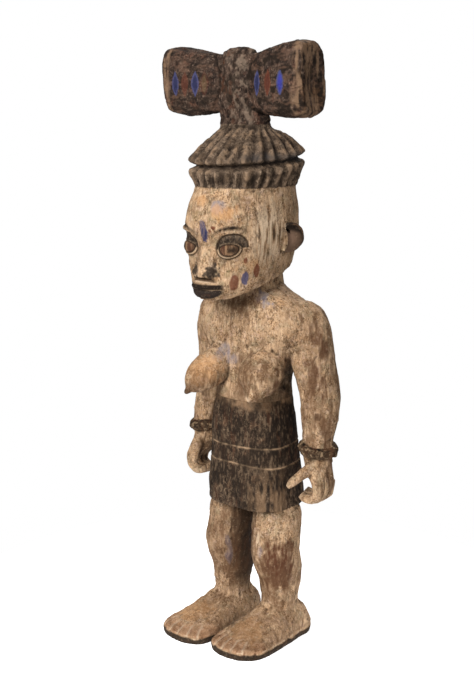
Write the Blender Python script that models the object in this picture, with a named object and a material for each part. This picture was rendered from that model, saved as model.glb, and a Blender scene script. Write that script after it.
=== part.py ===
"""Standing female figure carved from one log, with a double axe on her head.

Units in the tables below are millimetres, in the figure's own frame: the axis of the
legs is X = 0, Y = 0, the soles are Z = 0, the figure faces -Y and her left is +X.
Every carved element is its own closed body, kept JOINT_GAP away from its neighbours.
"""
import math

import bmesh
import bpy
import numpy as np
from mathutils import Vector

MM = 0.001
JOINT_GAP = 0.3

# Heights of the carved steps.
ANKLE_Z = 46.0
HEM_Z = 183.0
WRAPPER_TOP_Z = 325.0
NECK_BASE_Z = 463.0
HAIRLINE_Z = 594.0
TIER_NOTCH_Z = 624.0
STEM_BASE_Z = 668.0
AXE_Z = 719.0
FIGURE_TOP_Z = 764.0

# The head, coiffure and axe stand forward of the legs.
HEAD_MIDDLE_Y = -18.0
FACE_CENTRE_Y = -45.0
AXE_Y = -33.0
STEM_HALF_WIDTH = 33.0
STEM_TOP_Z = 681.6
HAFT_HALF_WIDTH = 24.0
BLADE_REACH = 109.0
AXE_LEAN = math.radians(4.0)
BLADE_DIFFERENCE = 0.03
TIER_TILT = math.radians(4.5)
UPPER_PLEATS = 24
LOWER_PLEATS = 30

# The jaw's underside is a plane that rises from the chin to the nape.
CHIN = Vector((0.0, -95.0, 459.0))
JAW_RISE = math.radians(18.0)

# The arms leave the shoulders on a plane that leans out at the top.
ARMPIT = Vector((54.0, 0.0, 360.0))
SHOULDER_LEAN = math.radians(9.0)

LEG_X = 40.0
WRIST = Vector((92.5, 9.0, 267.0))
WRIST_HALF_WIDTH = 17.5
WRIST_HALF_DEPTH = 19.0
SCORED_LINES = (265.0, 241.0)

OCHRE = (0.47, 0.33, 0.20)
DARK = (0.085, 0.058, 0.042)
BROWN = (0.17, 0.115, 0.075)


def wood(name, colour, roughness):
    """One Principled wood finish."""
    material = bpy.data.materials.new(name)
    material.use_nodes = True
    shader = material.node_tree.nodes["Principled BSDF"]
    shader.inputs["Base Color"].default_value = (*colour, 1.0)
    shader.inputs["Roughness"].default_value = roughness
    shader.inputs["Metallic"].default_value = 0.0
    return material


def smooth_rows(stations, heights):
    """Rows of the station table at new heights, on a smooth curve through the stations."""
    table = np.array(stations, dtype=float)
    knots = table[:, 0]
    slopes = np.gradient(table, knots, axis=0)
    heights = np.clip(heights, knots[0], knots[-1])
    index = np.clip(np.searchsorted(knots, heights, side="right") - 1, 0, len(knots) - 2)
    span = (knots[index + 1] - knots[index])[:, None]
    t = (heights - knots[index])[:, None] / span
    start = (2 * t**3 - 3 * t**2 + 1) * table[index] + (t**3 - 2 * t**2 + t) * span * slopes[index]
    end = (3 * t**2 - 2 * t**3) * table[index + 1] + (t**3 - t**2) * span * slopes[index + 1]
    return start + end


def angles(count, front_bias=0.0):
    """Angles around a section; a bias above 0 packs them towards the front (-Y)."""
    turn = np.linspace(-math.pi, math.pi, count, endpoint=False)
    return turn - front_bias * np.sin(turn) - math.pi / 2


def section(row, around):
    """Closed outline of one level section: z, x, half width, front y, back y, power."""
    z, x, half_width, front, back, power = row
    depth = (back - front) / 2
    middle = (back + front) / 2
    cosine = np.cos(around)
    sine = np.sin(around)
    across = half_width * np.sign(cosine) * np.abs(cosine) ** (2 / power)
    along = depth * np.sign(sine) * np.abs(sine) ** (2 / power)
    return np.column_stack([x + across, middle + along, np.full(len(around), z)])


def skin(rings):
    """Closed bmesh over a list of rings, with a flat cap on each end."""
    bm = bmesh.new()
    rows = [[bm.verts.new(Vector(point) * MM) for point in ring] for ring in rings]
    count = len(rows[0])
    for lower, upper in zip(rows, rows[1:]):
        for i in range(count):
            j = (i + 1) % count
            bm.faces.new((lower[i], lower[j], upper[j], upper[i]))
    bm.faces.new(rows[0])
    bm.faces.new(rows[-1])
    bmesh.ops.recalc_face_normals(bm, faces=bm.faces)
    return bm


def level_loft(stations, rings, around, shape=None):
    """Loft of level sections through the stations; shape moves the finished rings."""
    heights = np.linspace(stations[0][0], stations[-1][0], rings)
    outlines = [section(row, around) for row in smooth_rows(stations, heights)]
    if shape is not None:
        outlines = [shape(outline) for outline in outlines]
    return skin(outlines)


def sweep(path, sides, side_axis=(0.0, 1.0, 0.0), power=2.0, rings=None):
    """Tube along a path of rows: x, y, z, radius along side_axis, radius across it."""
    rows = np.array(path, dtype=float)
    if rings is not None:
        steps = np.arange(len(rows), dtype=float)
        rows = smooth_rows(np.column_stack([steps, rows]), np.linspace(0, steps[-1], rings))[:, 1:]
    tangents = np.gradient(rows[:, :3], axis=0)
    around = np.linspace(0, 2 * math.pi, sides, endpoint=False)
    outlines = []
    for row, direction in zip(rows, tangents):
        tangent = Vector(direction).normalized()
        across = tangent.cross(Vector(side_axis)).normalized()
        along = across.cross(tangent).normalized()
        cosine = np.sign(np.cos(around)) * np.abs(np.cos(around)) ** (2 / power)
        sine = np.sign(np.sin(around)) * np.abs(np.sin(around)) ** (2 / power)
        centre = np.array(row[:3])
        outlines.append(centre + np.outer(cosine * row[3], along) + np.outer(sine * row[4], across))
    return skin(outlines)


def cut(bm, point, normal):
    """Cut the body by a plane, drop the side that the normal points to, and cap it."""
    geometry = bm.verts[:] + bm.edges[:] + bm.faces[:]
    result = bmesh.ops.bisect_plane(bm, geom=geometry, plane_co=Vector(point) * MM,
                                    plane_no=normal, clear_outer=True, dist=1e-7)
    edges = [item for item in result["geom_cut"] if isinstance(item, bmesh.types.BMEdge)]
    bmesh.ops.holes_fill(bm, edges=edges, sides=0)
    bmesh.ops.recalc_face_normals(bm, faces=bm.faces)
    return bm


def node(name, bm, material, mirrored=False):
    """Named object from a finished body; a mirrored one is the same body on the other side."""
    if mirrored:
        bmesh.ops.scale(bm, vec=(-1.0, 1.0, 1.0), verts=bm.verts)
        bmesh.ops.recalc_face_normals(bm, faces=bm.faces)
    mesh = bpy.data.meshes.new(name)
    bm.to_mesh(mesh)
    bm.free()
    mesh.shade_smooth()
    mesh.materials.append(material)
    item = bpy.data.objects.new(name, mesh)
    bpy.context.scene.collection.objects.link(item)
    return item


def merge(item, bm):
    """Fuse another closed body into a node."""
    tool = node(item.name + "_lump", bm, item.data.materials[0])
    modifier = item.modifiers.new("fuse", "BOOLEAN")
    modifier.operation = "UNION"
    modifier.solver = "EXACT"
    modifier.object = tool
    graph = bpy.context.evaluated_depsgraph_get()
    fused = bpy.data.meshes.new_from_object(item.evaluated_get(graph))
    item.modifiers.clear()
    item.data = fused
    bpy.data.objects.remove(tool)


def trim(item, point, normal):
    """Cut a finished node by a plane and drop the side that the normal points to."""
    bm = bmesh.new()
    bm.from_mesh(item.data)
    cut(bm, point, normal)
    bm.to_mesh(item.data)
    bm.free()


def bump(offset, width):
    """Smooth hill, 1 in the middle and 0 beyond the width."""
    t = np.clip(np.abs(offset) / width, 0, 1)
    return (1 - t * t) ** 2


def jaw_plane(gap):
    """Point and upward normal of the jaw's underside, moved down by the gap."""
    normal = Vector((0.0, -math.sin(JAW_RISE), math.cos(JAW_RISE)))
    return CHIN - normal * gap, normal


def shoulder_plane(side, gap):
    """Point and outward normal of the cut between the torso and one arm."""
    normal = Vector((side * math.cos(SHOULDER_LEAN), 0.0, -math.sin(SHOULDER_LEAN)))
    point = Vector((side * ARMPIT.x, ARMPIT.y, ARMPIT.z))
    return point + normal * gap, normal


def head_outline(row, around):
    """Level head section: a broad flat face in front and a rounder back."""
    z, half_width, front, back, face_power = row
    cosine = np.cos(around)
    sine = np.sin(around)
    power = np.where(sine < 0, face_power, 2.1)
    depth = np.where(sine < 0, HEAD_MIDDLE_Y - front, back - HEAD_MIDDLE_Y)
    x = half_width * np.sign(cosine) * np.abs(cosine) ** (2 / power)
    y = HEAD_MIDDLE_Y + depth * np.sign(sine) * np.abs(sine) ** (2 / power)
    return np.column_stack([x, y, np.full(len(around), z)])


def face(outline):
    """Raise the nose, lips, brows and bulging eyes on the front of a level head section."""
    x, y, z = outline.T
    turn = np.abs(np.degrees(np.arctan2(x, FACE_CENTRE_Y - y)))
    nose_width = np.interp(z, (488, 499, 512, 540), (17, 18, 12.5, 8))
    nose_height = np.interp(z, (485.5, 489.5, 496, 515, 533, 545), (0, 8, 10.5, 7, 3.5, 0))
    relief = nose_height * bump(x, nose_width)
    relief += 5.0 * bump(np.abs(x) - 12.5, 6.5) * bump(z - 495, 8.5)
    relief += 7.6 * bump(x, 30.0) * bump(z - 478, 7.0)
    relief += 9.2 * bump(x, 26.0) * bump(z - 468, 8.0)
    relief += 3.5 * bump(x, 36.0) * bump(z - 478, 24.0)
    relief += 3.6 * bump(turn - 33, 30) * bump(z - 547, 8)
    relief += 6.5 * bump(np.hypot((turn - 35) / 20, (z - 522) / 15), 1.0)
    relief -= 3.0 * bump(turn - 19, 8) * bump(z - 528, 14)
    relief *= np.clip(-(y + 38.0) / 22.0, 0, 1)
    reach = np.hypot(x, y - FACE_CENTRE_Y)
    return np.column_stack([x * (1 + relief / reach), y + (y - FACE_CENTRE_Y) * relief / reach, z])


def make_head(material):
    """Skull, face and jaw, cut flat under the jaw and at the hairline."""
    stations = [
        (452.0, 35, -90, 34, 2.3),
        (462.0, 40, -98, 36, 2.4),
        (472.0, 44, -101, 38, 2.5),
        (490.0, 49, -100, 41, 2.8),
        (510.0, 52.5, -98, 44.5, 3.0),
        (530.0, 55, -99, 49.5, 3.0),
        (545.0, 56, -103, 52, 2.8),
        (560.0, 55.5, -105, 52, 2.6),
        (578.0, 53.5, -101, 50.5, 2.4),
        (HAIRLINE_Z, 50.5, -94, 48.5, 2.3),
    ]
    rows = smooth_rows(stations, np.linspace(stations[0][0], HAIRLINE_Z, 43))
    around = angles(60, front_bias=0.4)
    bm = skin([face(head_outline(row, around)) for row in rows])
    point, normal = jaw_plane(0.0)
    return node("head", cut(bm, point, -normal), material)


def make_neck(material):
    """Thick neck between the shoulders and the slanting jaw."""
    stations = [
        (NECK_BASE_Z + JOINT_GAP, 0, 34.5, -41, 34.5, 2.1),
        (480.0, 0, 33.5, -43, 33, 2.1),
        (520.0, 0, 34, -46, 34, 2.1),
    ]
    bm = level_loft(stations, 7, angles(26))
    point, normal = jaw_plane(JOINT_GAP)
    return node("neck", cut(bm, point, normal), material)


def make_ear(name, material, mirrored):
    """Cupped ear: an oval dish, hollow to the front, that leans back from the temple."""
    centre = Vector((62.2, -11.1, 533.0))
    temple_x = 56.8
    outward = Vector((0.80, 0.60, 0.0))
    forward = Vector((0.60, -0.80, 0.0))
    profile = [(0.06, -11.0), (0.45, -10.5), (0.80, -7.5), (0.97, -2.0), (1.0, 1.6),
               (0.95, 3.4), (0.87, 3.0), (0.78, -2.0), (0.56, -6.2), (0.24, -7.4)]
    rings = []
    for spread, lift in profile:
        ring = []
        for turn in np.linspace(0, 2 * math.pi, 26, endpoint=False):
            point = centre + outward * (15.5 * spread * math.cos(turn)) + forward * lift
            ring.append(point + Vector((0.0, 0.0, 18.5 * spread * math.sin(turn))))
        rings.append(ring)
    bm = cut(skin(rings), (temple_x, 0.0, 0.0), Vector((-1.0, 0.0, 0.0)))
    return node(name, bm, material, mirrored)


def tier_shape(pleats, depth_at):
    """Pleat a level section all round, then tilt it down to the front."""
    def shape(outline):
        x, y, z = outline.T
        middle = (y.max() + y.min()) / 2
        turn = np.arange(len(x)) * pleats / len(x)
        depth = depth_at(z)
        inset = depth * (1 - np.cos(2 * math.pi * turn)) / 2
        radius = np.hypot(x, y - middle)
        scale = 1 - inset / radius
        tilted = z + (y - AXE_Y) * math.tan(TIER_TILT) * np.clip((z - HAIRLINE_Z) / 18.0, 0, 1)
        return np.column_stack([x * scale, middle + (y - middle) * scale, tilted])
    return shape


def make_lower_tier(material):
    """Fluted band of hair above the forehead, widening to a sharp upper edge."""
    stations = [
        (HAIRLINE_Z + JOINT_GAP, 0, 51, -93.5, 50, 2.2),
        (600.0, 0, 55, -96, 53.5, 2.2),
        (608.0, 0, 59, -98, 56.5, 2.2),
        (616.5, 0, 62.5, -100.5, 59.5, 2.2),
        (619.0, 0, 61, -99, 58, 2.2),
        (TIER_NOTCH_Z - JOINT_GAP, 0, 53, -87, 48, 2.2),
    ]
    def depth_at(z):
        return np.interp(z, (HAIRLINE_Z, 600, 616, TIER_NOTCH_Z), (0.6, 4.2, 5.4, 0.2))
    bm = level_loft(stations, 9, angles(2 * LOWER_PLEATS), tier_shape(LOWER_PLEATS, depth_at))
    return node("lower_pleated_tier", bm, material)


def make_upper_tier(material):
    """Pleated cone of hair that spreads from the axe stem to a toothed rim."""
    stations = [
        (TIER_NOTCH_Z, 0, 53, -87, 48, 2.2),
        (627.0, 0, 60.5, -97.5, 56.5, 2.2),
        (631.0, 0, 63, -100.5, 59, 2.2),
        (637.0, 0, 59.5, -94, 52, 2.2),
        (645.0, 0, 54, -83, 42, 2.2),
        (658.0, 0, 41, -61, 17, 2.3),
        (STEM_BASE_Z, 0, 33, -45, -3, 2.8),
    ]
    def depth_at(z):
        return np.interp(z, (TIER_NOTCH_Z, 627, 634, 660, STEM_BASE_Z), (0.2, 5.4, 6.4, 2.8, 0.3))
    def shape(outline):
        z = outline[:, 2]
        level = np.clip((STEM_BASE_Z - z) / 12.0, 0, 1)[0]
        tilted = tier_shape(UPPER_PLEATS, depth_at)(outline)
        tilted[:, 2] = z + (tilted[:, 2] - z) * level
        return tilted
    around = angles(2 * UPPER_PLEATS)
    return node("upper_pleated_tier", level_loft(stations, 13, around, shape), material)


def make_axe_haft(material):
    """Broad stem that rises from the hair and narrows to a strap over the middle of the axe."""
    stem = [
        (STEM_BASE_Z + JOINT_GAP, 0, STEM_HALF_WIDTH, -44, -4, 3.4),
        (675.0, 0, STEM_HALF_WIDTH, -44.5, -5, 3.4),
        (STEM_TOP_Z, 0, STEM_HALF_WIDTH, -45.5, -8, 3.4),
    ]
    strap = [
        (STEM_TOP_Z + 0.1, 0, HAFT_HALF_WIDTH, -45.8, -12, 3.6),
        (695.0, 0, HAFT_HALF_WIDTH, -48, -15, 3.6),
        (722.0, 0, HAFT_HALF_WIDTH, -50, -15.5, 3.4),
        (740.0, 0, HAFT_HALF_WIDTH - 1, -49, -16, 3.0),
        (749.0, 0, 21.5, -47, -18, 2.7),
        (755.0, 0, 17, -43, -22, 2.5),
        (FIGURE_TOP_Z - 5.5, 0, 8, -37, -29, 2.2),
    ]
    rows = list(smooth_rows(stem, np.linspace(stem[0][0], stem[-1][0], 4)))
    rows += list(smooth_rows(strap, np.linspace(strap[0][0], strap[-1][0], 13)))
    around = angles(28)
    return node("axe_haft", skin([section(row, around) for row in rows]), material)


def make_axe_blade(name, material, side):
    """Flared blade block: narrow at the haft, tall at its slightly hollow outer end."""
    path = [
        (HAFT_HALF_WIDTH - 4.0, -1.5, 14.0, 33.0),
        (42.0, -1.5, 19.5, 36.5),
        (66.0, -0.5, 24.3, 40.2),
        (88.0, 1.0, 26.2, 42.0),
        (BLADE_REACH - 6.0, 2.2, 26.0, 41.6),
        (BLADE_REACH, 2.3, 21.5, 36.0),
        (BLADE_REACH - 1.5, 2.3, 15.0, 28.0),
        (BLADE_REACH - 3.0, 2.3, 5.0, 9.0),
    ]
    around = np.linspace(0, 2 * math.pi, 28, endpoint=False)
    cosine = np.sign(np.cos(around)) * np.abs(np.cos(around)) ** 0.62
    sine = np.sign(np.sin(around)) * np.abs(np.sin(around)) ** 0.62
    rings = []
    for reach, lift, half_depth, half_height in path:
        grown = 1 + side * BLADE_DIFFERENCE * reach / BLADE_REACH
        z = AXE_Z + lift + half_height * grown * sine
        x = side * reach - (z - AXE_Z) * math.tan(AXE_LEAN) * reach / BLADE_REACH
        rings.append(np.column_stack([x, AXE_Y + half_depth * cosine, z]))
    root = (side * (HAFT_HALF_WIDTH + JOINT_GAP), 0.0, 0.0)
    return node(name, cut(skin(rings), root, Vector((-side, 0.0, 0.0))), material)


def make_torso(material):
    """Chest, belly and shoulders with two breasts, cut where the arms begin."""
    stations = [
        (WRAPPER_TOP_Z + JOINT_GAP, 0, 47, -46, 37.5, 2.6),
        (350.0, 0, 46.5, -45, 38, 2.5),
        (372.0, 0, 56, -45, 43, 2.5),
        (395.0, 0, 70, -45.5, 46, 2.6),
        (418.0, 0, 86, -44.5, 46, 2.6),
        (436.0, 0, 84, -42.5, 43, 2.5),
        (449.0, 0, 74, -41, 39, 2.4),
        (457.0, 0, 57, -41, 37, 2.3),
        (NECK_BASE_Z, 0, 43, -41, 35.5, 2.2),
    ]
    item = node("torso", level_loft(stations, 19, angles(36)), material)
    right_breast = [
        (-31, -20, 371, 20, 21),
        (-32.5, -38, 367, 22.5, 23.5),
        (-34, -55, 361, 22, 23),
        (-35.5, -69, 354, 20.5, 21),
        (-37, -81, 346.5, 14.5, 15),
        (-38, -89, 341, 5.4, 5.4),
        (-38.5, -94, 338, 2.4, 2.4),
    ]
    left_breast = [
        (33, -20, 375, 24, 23),
        (38, -34, 370, 28, 26.5),
        (42, -47, 362, 28, 26),
        (45, -57, 353, 23, 22),
        (45.5, -64, 345, 14, 14),
        (44.5, -70, 338, 5, 5.5),
    ]
    for path in (right_breast, left_breast):
        merge(item, sweep(path, 20, side_axis=(1.0, 0.0, 0.0), rings=11))
    for side in (-1, 1):
        point, normal = shoulder_plane(side, -JOINT_GAP / 2)
        trim(item, point, normal)
    return item


def make_arm(name, material, mirrored):
    """Shoulder, upper arm and forearm down to the wrist, a little bent at the elbow."""
    stations = [
        (250.0, WRIST.x, WRIST_HALF_WIDTH, WRIST.y - WRIST_HALF_DEPTH, WRIST.y + WRIST_HALF_DEPTH, 2.0),
        (265.0, WRIST.x, WRIST_HALF_WIDTH, WRIST.y - WRIST_HALF_DEPTH, WRIST.y + WRIST_HALF_DEPTH, 2.0),
        (278.0, WRIST.x, WRIST_HALF_WIDTH, WRIST.y - WRIST_HALF_DEPTH, WRIST.y + WRIST_HALF_DEPTH, 2.0),
        (288.0, 91.5, 20.5, -9, 34, 2.1),
        (304.0, 90, 22.5, -8, 39, 2.1),
        (322.0, 87.5, 24, -6, 45, 2.1),
        (345.0, 83, 25.5, -7, 48, 2.1),
        (372.0, 77.5, 27, -11, 46, 2.1),
        (400.0, 76, 28, -15, 40, 2.1),
        (424.0, 74, 25.5, -15, 36, 2.1),
        (440.0, 72, 21, -9, 31, 2.1),
        (449.0, 69, 13, -2, 24, 2.0),
        (454.0, 67, 5, 6, 16, 2.0),
    ]
    bm = level_loft(stations, 21, angles(22))
    point, normal = shoulder_plane(1, JOINT_GAP / 2)
    return node(name, cut(bm, point, -normal), material, mirrored)


def make_bracelet(name, material, mirrored):
    """Raised ring carved round the wrist, tipped down to the outside."""
    inner_a = WRIST_HALF_WIDTH + 2 * JOINT_GAP
    inner_b = WRIST_HALF_DEPTH + 2 * JOINT_GAP
    outer = 6.0
    tilt = math.radians(10.0)
    profile = [(0.0, -5.0), (outer - 1.2, -5.0), (outer, -2.0), (outer, 2.0), (outer - 1.2, 5.0), (0.0, 5.0)]
    centre = Vector((WRIST.x, WRIST.y, WRIST.z))
    bm = bmesh.new()
    loops = []
    for turn in np.linspace(0, 2 * math.pi, 26, endpoint=False):
        loop = []
        for grow, lift in profile:
            x = (inner_a + grow) * math.cos(turn)
            y = (inner_b + grow) * math.sin(turn)
            loop.append(bm.verts.new((centre + Vector((x, y, lift - x * math.tan(tilt)))) * MM))
        loops.append(loop)
    for here, ahead in zip(loops, loops[1:] + loops[:1]):
        for i in range(len(profile)):
            j = (i + 1) % len(profile)
            bm.faces.new((here[i], ahead[i], ahead[j], here[j]))
    bmesh.ops.recalc_face_normals(bm, faces=bm.faces)
    return node(name, bm, material, mirrored)


def make_hand(name, material, mirrored):
    """Half-closed hand: four fingers curl in as one block, the thumb points forward."""
    top = 250.0 - JOINT_GAP
    fingers = [
        (92.5, 9, top + 12, 18, 16.5),
        (96, 7.5, top - 6, 18, 14),
        (104, 4, 232, 19, 10.5),
        (108, 2, 219, 19, 8.5),
        (104, 1, 209, 18.5, 7.5),
        (94, 0, 204.5, 17.5, 6.5),
        (84, -1, 207, 16, 5),
    ]
    thumb = [
        (97, -2, 246, 7, 6.5),
        (90, -15, 239, 7, 6.5),
        (84, -26, 231, 6.2, 6),
        (80, -35, 224, 3.5, 3.5),
    ]
    palm = node(name, sweep(fingers, 18, rings=13, power=2.4), material)
    merge(palm, sweep(thumb, 10, rings=6))
    trim(palm, (0.0, 0.0, top), Vector((0.0, 0.0, 1.0)))
    if mirrored:
        bm = bmesh.new()
        bm.from_mesh(palm.data)
        bmesh.ops.scale(bm, vec=(-1.0, 1.0, 1.0), verts=bm.verts)
        bmesh.ops.recalc_face_normals(bm, faces=bm.faces)
        bm.to_mesh(palm.data)
        bm.free()
    palm.data.shade_smooth()
    return palm


def make_wrapper(material):
    """Short wrapper cloth, squarish in section, with two scored lines round it."""
    stations = [
        (HEM_Z, 0, 61, -50.5, 50.5, 3.0),
        (230.0, 0, 57.5, -50, 46, 2.9),
        (275.0, 0, 53.5, -50, 42, 2.8),
        (310.0, 0, 50.5, -50, 39.5, 2.6),
        (WRAPPER_TOP_Z, 0, 47, -46.5, 37, 2.6),
    ]
    groove = 1.6
    heights = [HEM_Z, 198.0, 213.0, 228.0]
    for line in reversed(SCORED_LINES):
        heights += [line - groove, line, line + groove]
    heights += [280.0, 295.0, 308.0, 317.0, WRAPPER_TOP_Z]
    outlines = []
    for row in smooth_rows(stations, np.array(heights)):
        if row[0] in SCORED_LINES:
            row[2:5] += np.array([-groove, groove, -groove])
        outlines.append(section(row, angles(36)))
    return node("wrapper", skin(outlines), material)


def make_leg(name, material, mirrored):
    """Short thick leg from the hem to the ankle, knee forward and calf back."""
    stations = [
        (ANKLE_Z, 41, 22.5, -25, 24, 2.1),
        (62.0, 40.5, 24, -27, 26, 2.1),
        (85.0, LEG_X, 27, -31, 31, 2.1),
        (104.0, LEG_X, 29.5, -39, 27, 2.1),
        (116.0, LEG_X, 30, -42, 23, 2.1),
        (150.0, 38, 30, -37, 26, 2.1),
        (HEM_Z - JOINT_GAP, 37, 30, -34, 29, 2.1),
    ]
    return node(name, level_loft(stations, 12, angles(24)), material, mirrored)


def make_foot(name, material, stations, mirrored):
    """Long flat foot: domed above a square sole edge, cut level under the ankle."""
    toes, heel = stations[0][0], stations[-1][0]
    places = np.concatenate([np.linspace(toes, toes + 18, 6), np.linspace(toes + 24, heel, 14)])
    rows = smooth_rows(stations, places)
    around = np.linspace(0, math.pi, 13)
    rings = []
    for y, x, half_width, height in rows:
        sole = 8.0
        dome = [(x + half_width * math.copysign(abs(math.cos(t)) ** 0.8, math.cos(t)), y,
                 sole + (height - sole) * math.sin(t) ** 0.8) for t in around]
        edge = half_width - 1.0
        rings.append([(x + edge, y, 0.0)] + dome + [(x - edge, y, 0.0)])
    bm = cut(skin(rings), (0.0, 0.0, ANKLE_Z - JOINT_GAP), Vector((0.0, 0.0, 1.0)))
    return node(name, bm, material, mirrored)


def centre_on_base(items):
    """Move every mesh so that the middle of the overall box stands on the origin."""
    corners = np.array([vertex.co for item in items for vertex in item.data.vertices])
    middle = (corners.max(axis=0) + corners.min(axis=0)) / 2
    shift = Vector((-middle[0], -middle[1], -corners[:, 2].min()))
    for item in items:
        for vertex in item.data.vertices:
            vertex.co += shift


def main():
    for item in list(bpy.data.objects):
        bpy.data.objects.remove(item)
    skin_wood = wood("ochre_painted_wood", OCHRE, 0.62)
    cloth_wood = wood("blackened_wrapper_wood", DARK, 0.60)
    hair_wood = wood("brown_coiffure_wood", BROWN, 0.66)
    axe_wood = wood("dark_axe_wood", DARK, 0.55)
    ring_wood = wood("blackened_bracelet_wood", DARK, 0.58)
    left_foot = [
        (-98.5, 26, 12, 11),
        (-96.5, 27, 20, 13),
        (-91.0, 28.5, 30, 16.5),
        (-80.0, 31, 37, 20.5),
        (-66.0, 33, 39, 24.5),
        (-44.0, 37, 36, 34),
        (-22.0, 40, 32, 46),
        (5.0, 42, 29, 52),
        (30.0, 43, 26, 40),
        (43.0, 43, 17, 22),
    ]
    right_foot = [
        (-104.5, 49, 13, 11),
        (-102.5, 49.5, 21, 13),
        (-97.0, 50, 31, 16.5),
        (-86.0, 50, 38, 20),
        (-72.0, 49, 39, 23),
        (-46.0, 45, 36, 33),
        (-22.0, 43, 31, 46),
        (5.0, 41, 29, 52),
        (30.0, 41, 25, 40),
        (43.0, 41, 16, 22),
    ]
    items = [
        make_head(skin_wood),
        make_neck(skin_wood),
        make_ear("left_ear", skin_wood, False),
        make_ear("right_ear", skin_wood, True),
        make_lower_tier(hair_wood),
        make_upper_tier(hair_wood),
        make_axe_haft(axe_wood),
        make_axe_blade("left_axe_blade", axe_wood, 1),
        make_axe_blade("right_axe_blade", axe_wood, -1),
        make_torso(skin_wood),
        make_wrapper(cloth_wood),
        make_foot("left_foot", skin_wood, left_foot, False),
        make_foot("right_foot", skin_wood, right_foot, True),
    ]
    for side, mirrored in (("left", False), ("right", True)):
        items.append(make_arm(side + "_arm", skin_wood, mirrored))
        items.append(make_bracelet(side + "_bracelet", ring_wood, mirrored))
        items.append(make_hand(side + "_hand", skin_wood, mirrored))
        items.append(make_leg(side + "_leg", skin_wood, mirrored))
    centre_on_base(items)


main()
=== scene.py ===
import math

import bmesh
import bpy
import numpy as np
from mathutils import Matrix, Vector
from mathutils.bvhtree import BVHTree


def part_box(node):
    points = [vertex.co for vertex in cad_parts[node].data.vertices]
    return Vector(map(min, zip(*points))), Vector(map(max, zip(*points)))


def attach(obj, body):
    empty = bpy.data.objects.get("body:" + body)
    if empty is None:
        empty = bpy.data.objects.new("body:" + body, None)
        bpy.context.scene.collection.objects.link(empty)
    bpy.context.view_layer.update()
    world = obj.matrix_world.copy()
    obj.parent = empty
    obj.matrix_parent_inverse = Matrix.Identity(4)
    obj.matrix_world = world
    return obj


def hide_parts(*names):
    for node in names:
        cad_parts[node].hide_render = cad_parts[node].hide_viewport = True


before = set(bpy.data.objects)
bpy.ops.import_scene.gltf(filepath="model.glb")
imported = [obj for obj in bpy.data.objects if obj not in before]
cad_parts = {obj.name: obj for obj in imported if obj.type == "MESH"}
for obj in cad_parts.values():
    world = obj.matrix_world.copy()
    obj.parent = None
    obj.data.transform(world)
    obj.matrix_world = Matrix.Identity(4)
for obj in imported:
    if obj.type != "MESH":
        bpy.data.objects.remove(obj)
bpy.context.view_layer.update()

# All shapes below are in millimetres in the figure's own frame: soles at Z = 0, the axis of
# the legs at X = Y = 0, the face towards -Y, her left at +X. The wrapper stands on that axis,
# so its box gives the way from there to the row's frame.
MM = 0.001
LOW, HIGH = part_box("wrapper")
AXIS = np.array([(LOW.x + HIGH.x) / 2, (LOW.y + HIGH.y) / 2, 0.0]) / MM

VOXEL = 1.0
ANKLE_Z = 46.0
HEM_Z = 183.0
WRAPPER_TOP_Z = 325.0
NECK_BASE_Z = 463.0
HAIRLINE_Z = 594.0
TIER_NOTCH_Z = 624.0
STEM_BASE_Z = 668.0
AXE_Z = 719.0
AXE_Y = -33.0
BLADE_REACH = 109.0
AXE_LEAN = math.radians(4.0)
BLADE_DIFFERENCE = 0.03
TIER_TILT = math.radians(4.5)
UPPER_PLEATS = 24
LOWER_PLEATS = 30
SCORED_LINES = (265.0, 241.0)
HEAD_MIDDLE_Y = -18.0
FACE_CENTRE_Y = -45.0
CHIN = np.array([0.0, -95.0, 459.0])
JAW_RISE = math.radians(18.0)
WRIST = np.array([92.5, 9.0, 267.0])
EAR = np.array([62.2, -11.1, 533.0])
EAR_OUTWARD = np.array([0.80, 0.60, 0.0])
EAR_FORWARD = np.array([0.60, -0.80, 0.0])
EAR_HALF_WIDTH = 15.5
EAR_HALF_HEIGHT = 18.5
EYE_Z = 524.5
EYE_TURN = 36.0


# ---- numbers and noise

def smooth_rows(stations, places):
    """Rows of a station table at new places, on a smooth curve through the stations."""
    table = np.array(stations, dtype=float)
    knots = table[:, 0]
    slopes = np.gradient(table, knots, axis=0)
    places = np.clip(places, knots[0], knots[-1])
    index = np.clip(np.searchsorted(knots, places, side="right") - 1, 0, len(knots) - 2)
    span = (knots[index + 1] - knots[index])[:, None]
    t = (places - knots[index])[:, None] / span
    start = (2 * t**3 - 3 * t**2 + 1) * table[index] + (t**3 - 2 * t**2 + t) * span * slopes[index]
    end = (3 * t**2 - 2 * t**3) * table[index + 1] + (t**3 - t**2) * span * slopes[index + 1]
    return start + end


def bump(offset, width):
    """Smooth hill, 1 in the middle and 0 beyond the width."""
    t = np.clip(np.abs(offset) / width, 0, 1)
    return (1 - t * t) ** 2


def step(value, low, high):
    """Smooth step from 0 at low to 1 at high."""
    t = np.clip((value - low) / (high - low), 0, 1)
    return t * t * (3 - 2 * t)


def cell_value(x, y, z, seed):
    """Repeatable number from 0 to 1 for a whole-number grid cell."""
    h = (x.astype(np.uint32) * np.uint32(374761393) + y.astype(np.uint32) * np.uint32(668265263)
         + z.astype(np.uint32) * np.uint32(2246822519) + np.uint32(seed * 3266489917 % 2**32))
    h = (h ^ (h >> np.uint32(13))) * np.uint32(1274126177)
    h = (h ^ (h >> np.uint32(16))) * np.uint32(2654435761)
    return (h >> np.uint32(8)).astype(float) / float(2**24)


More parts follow.
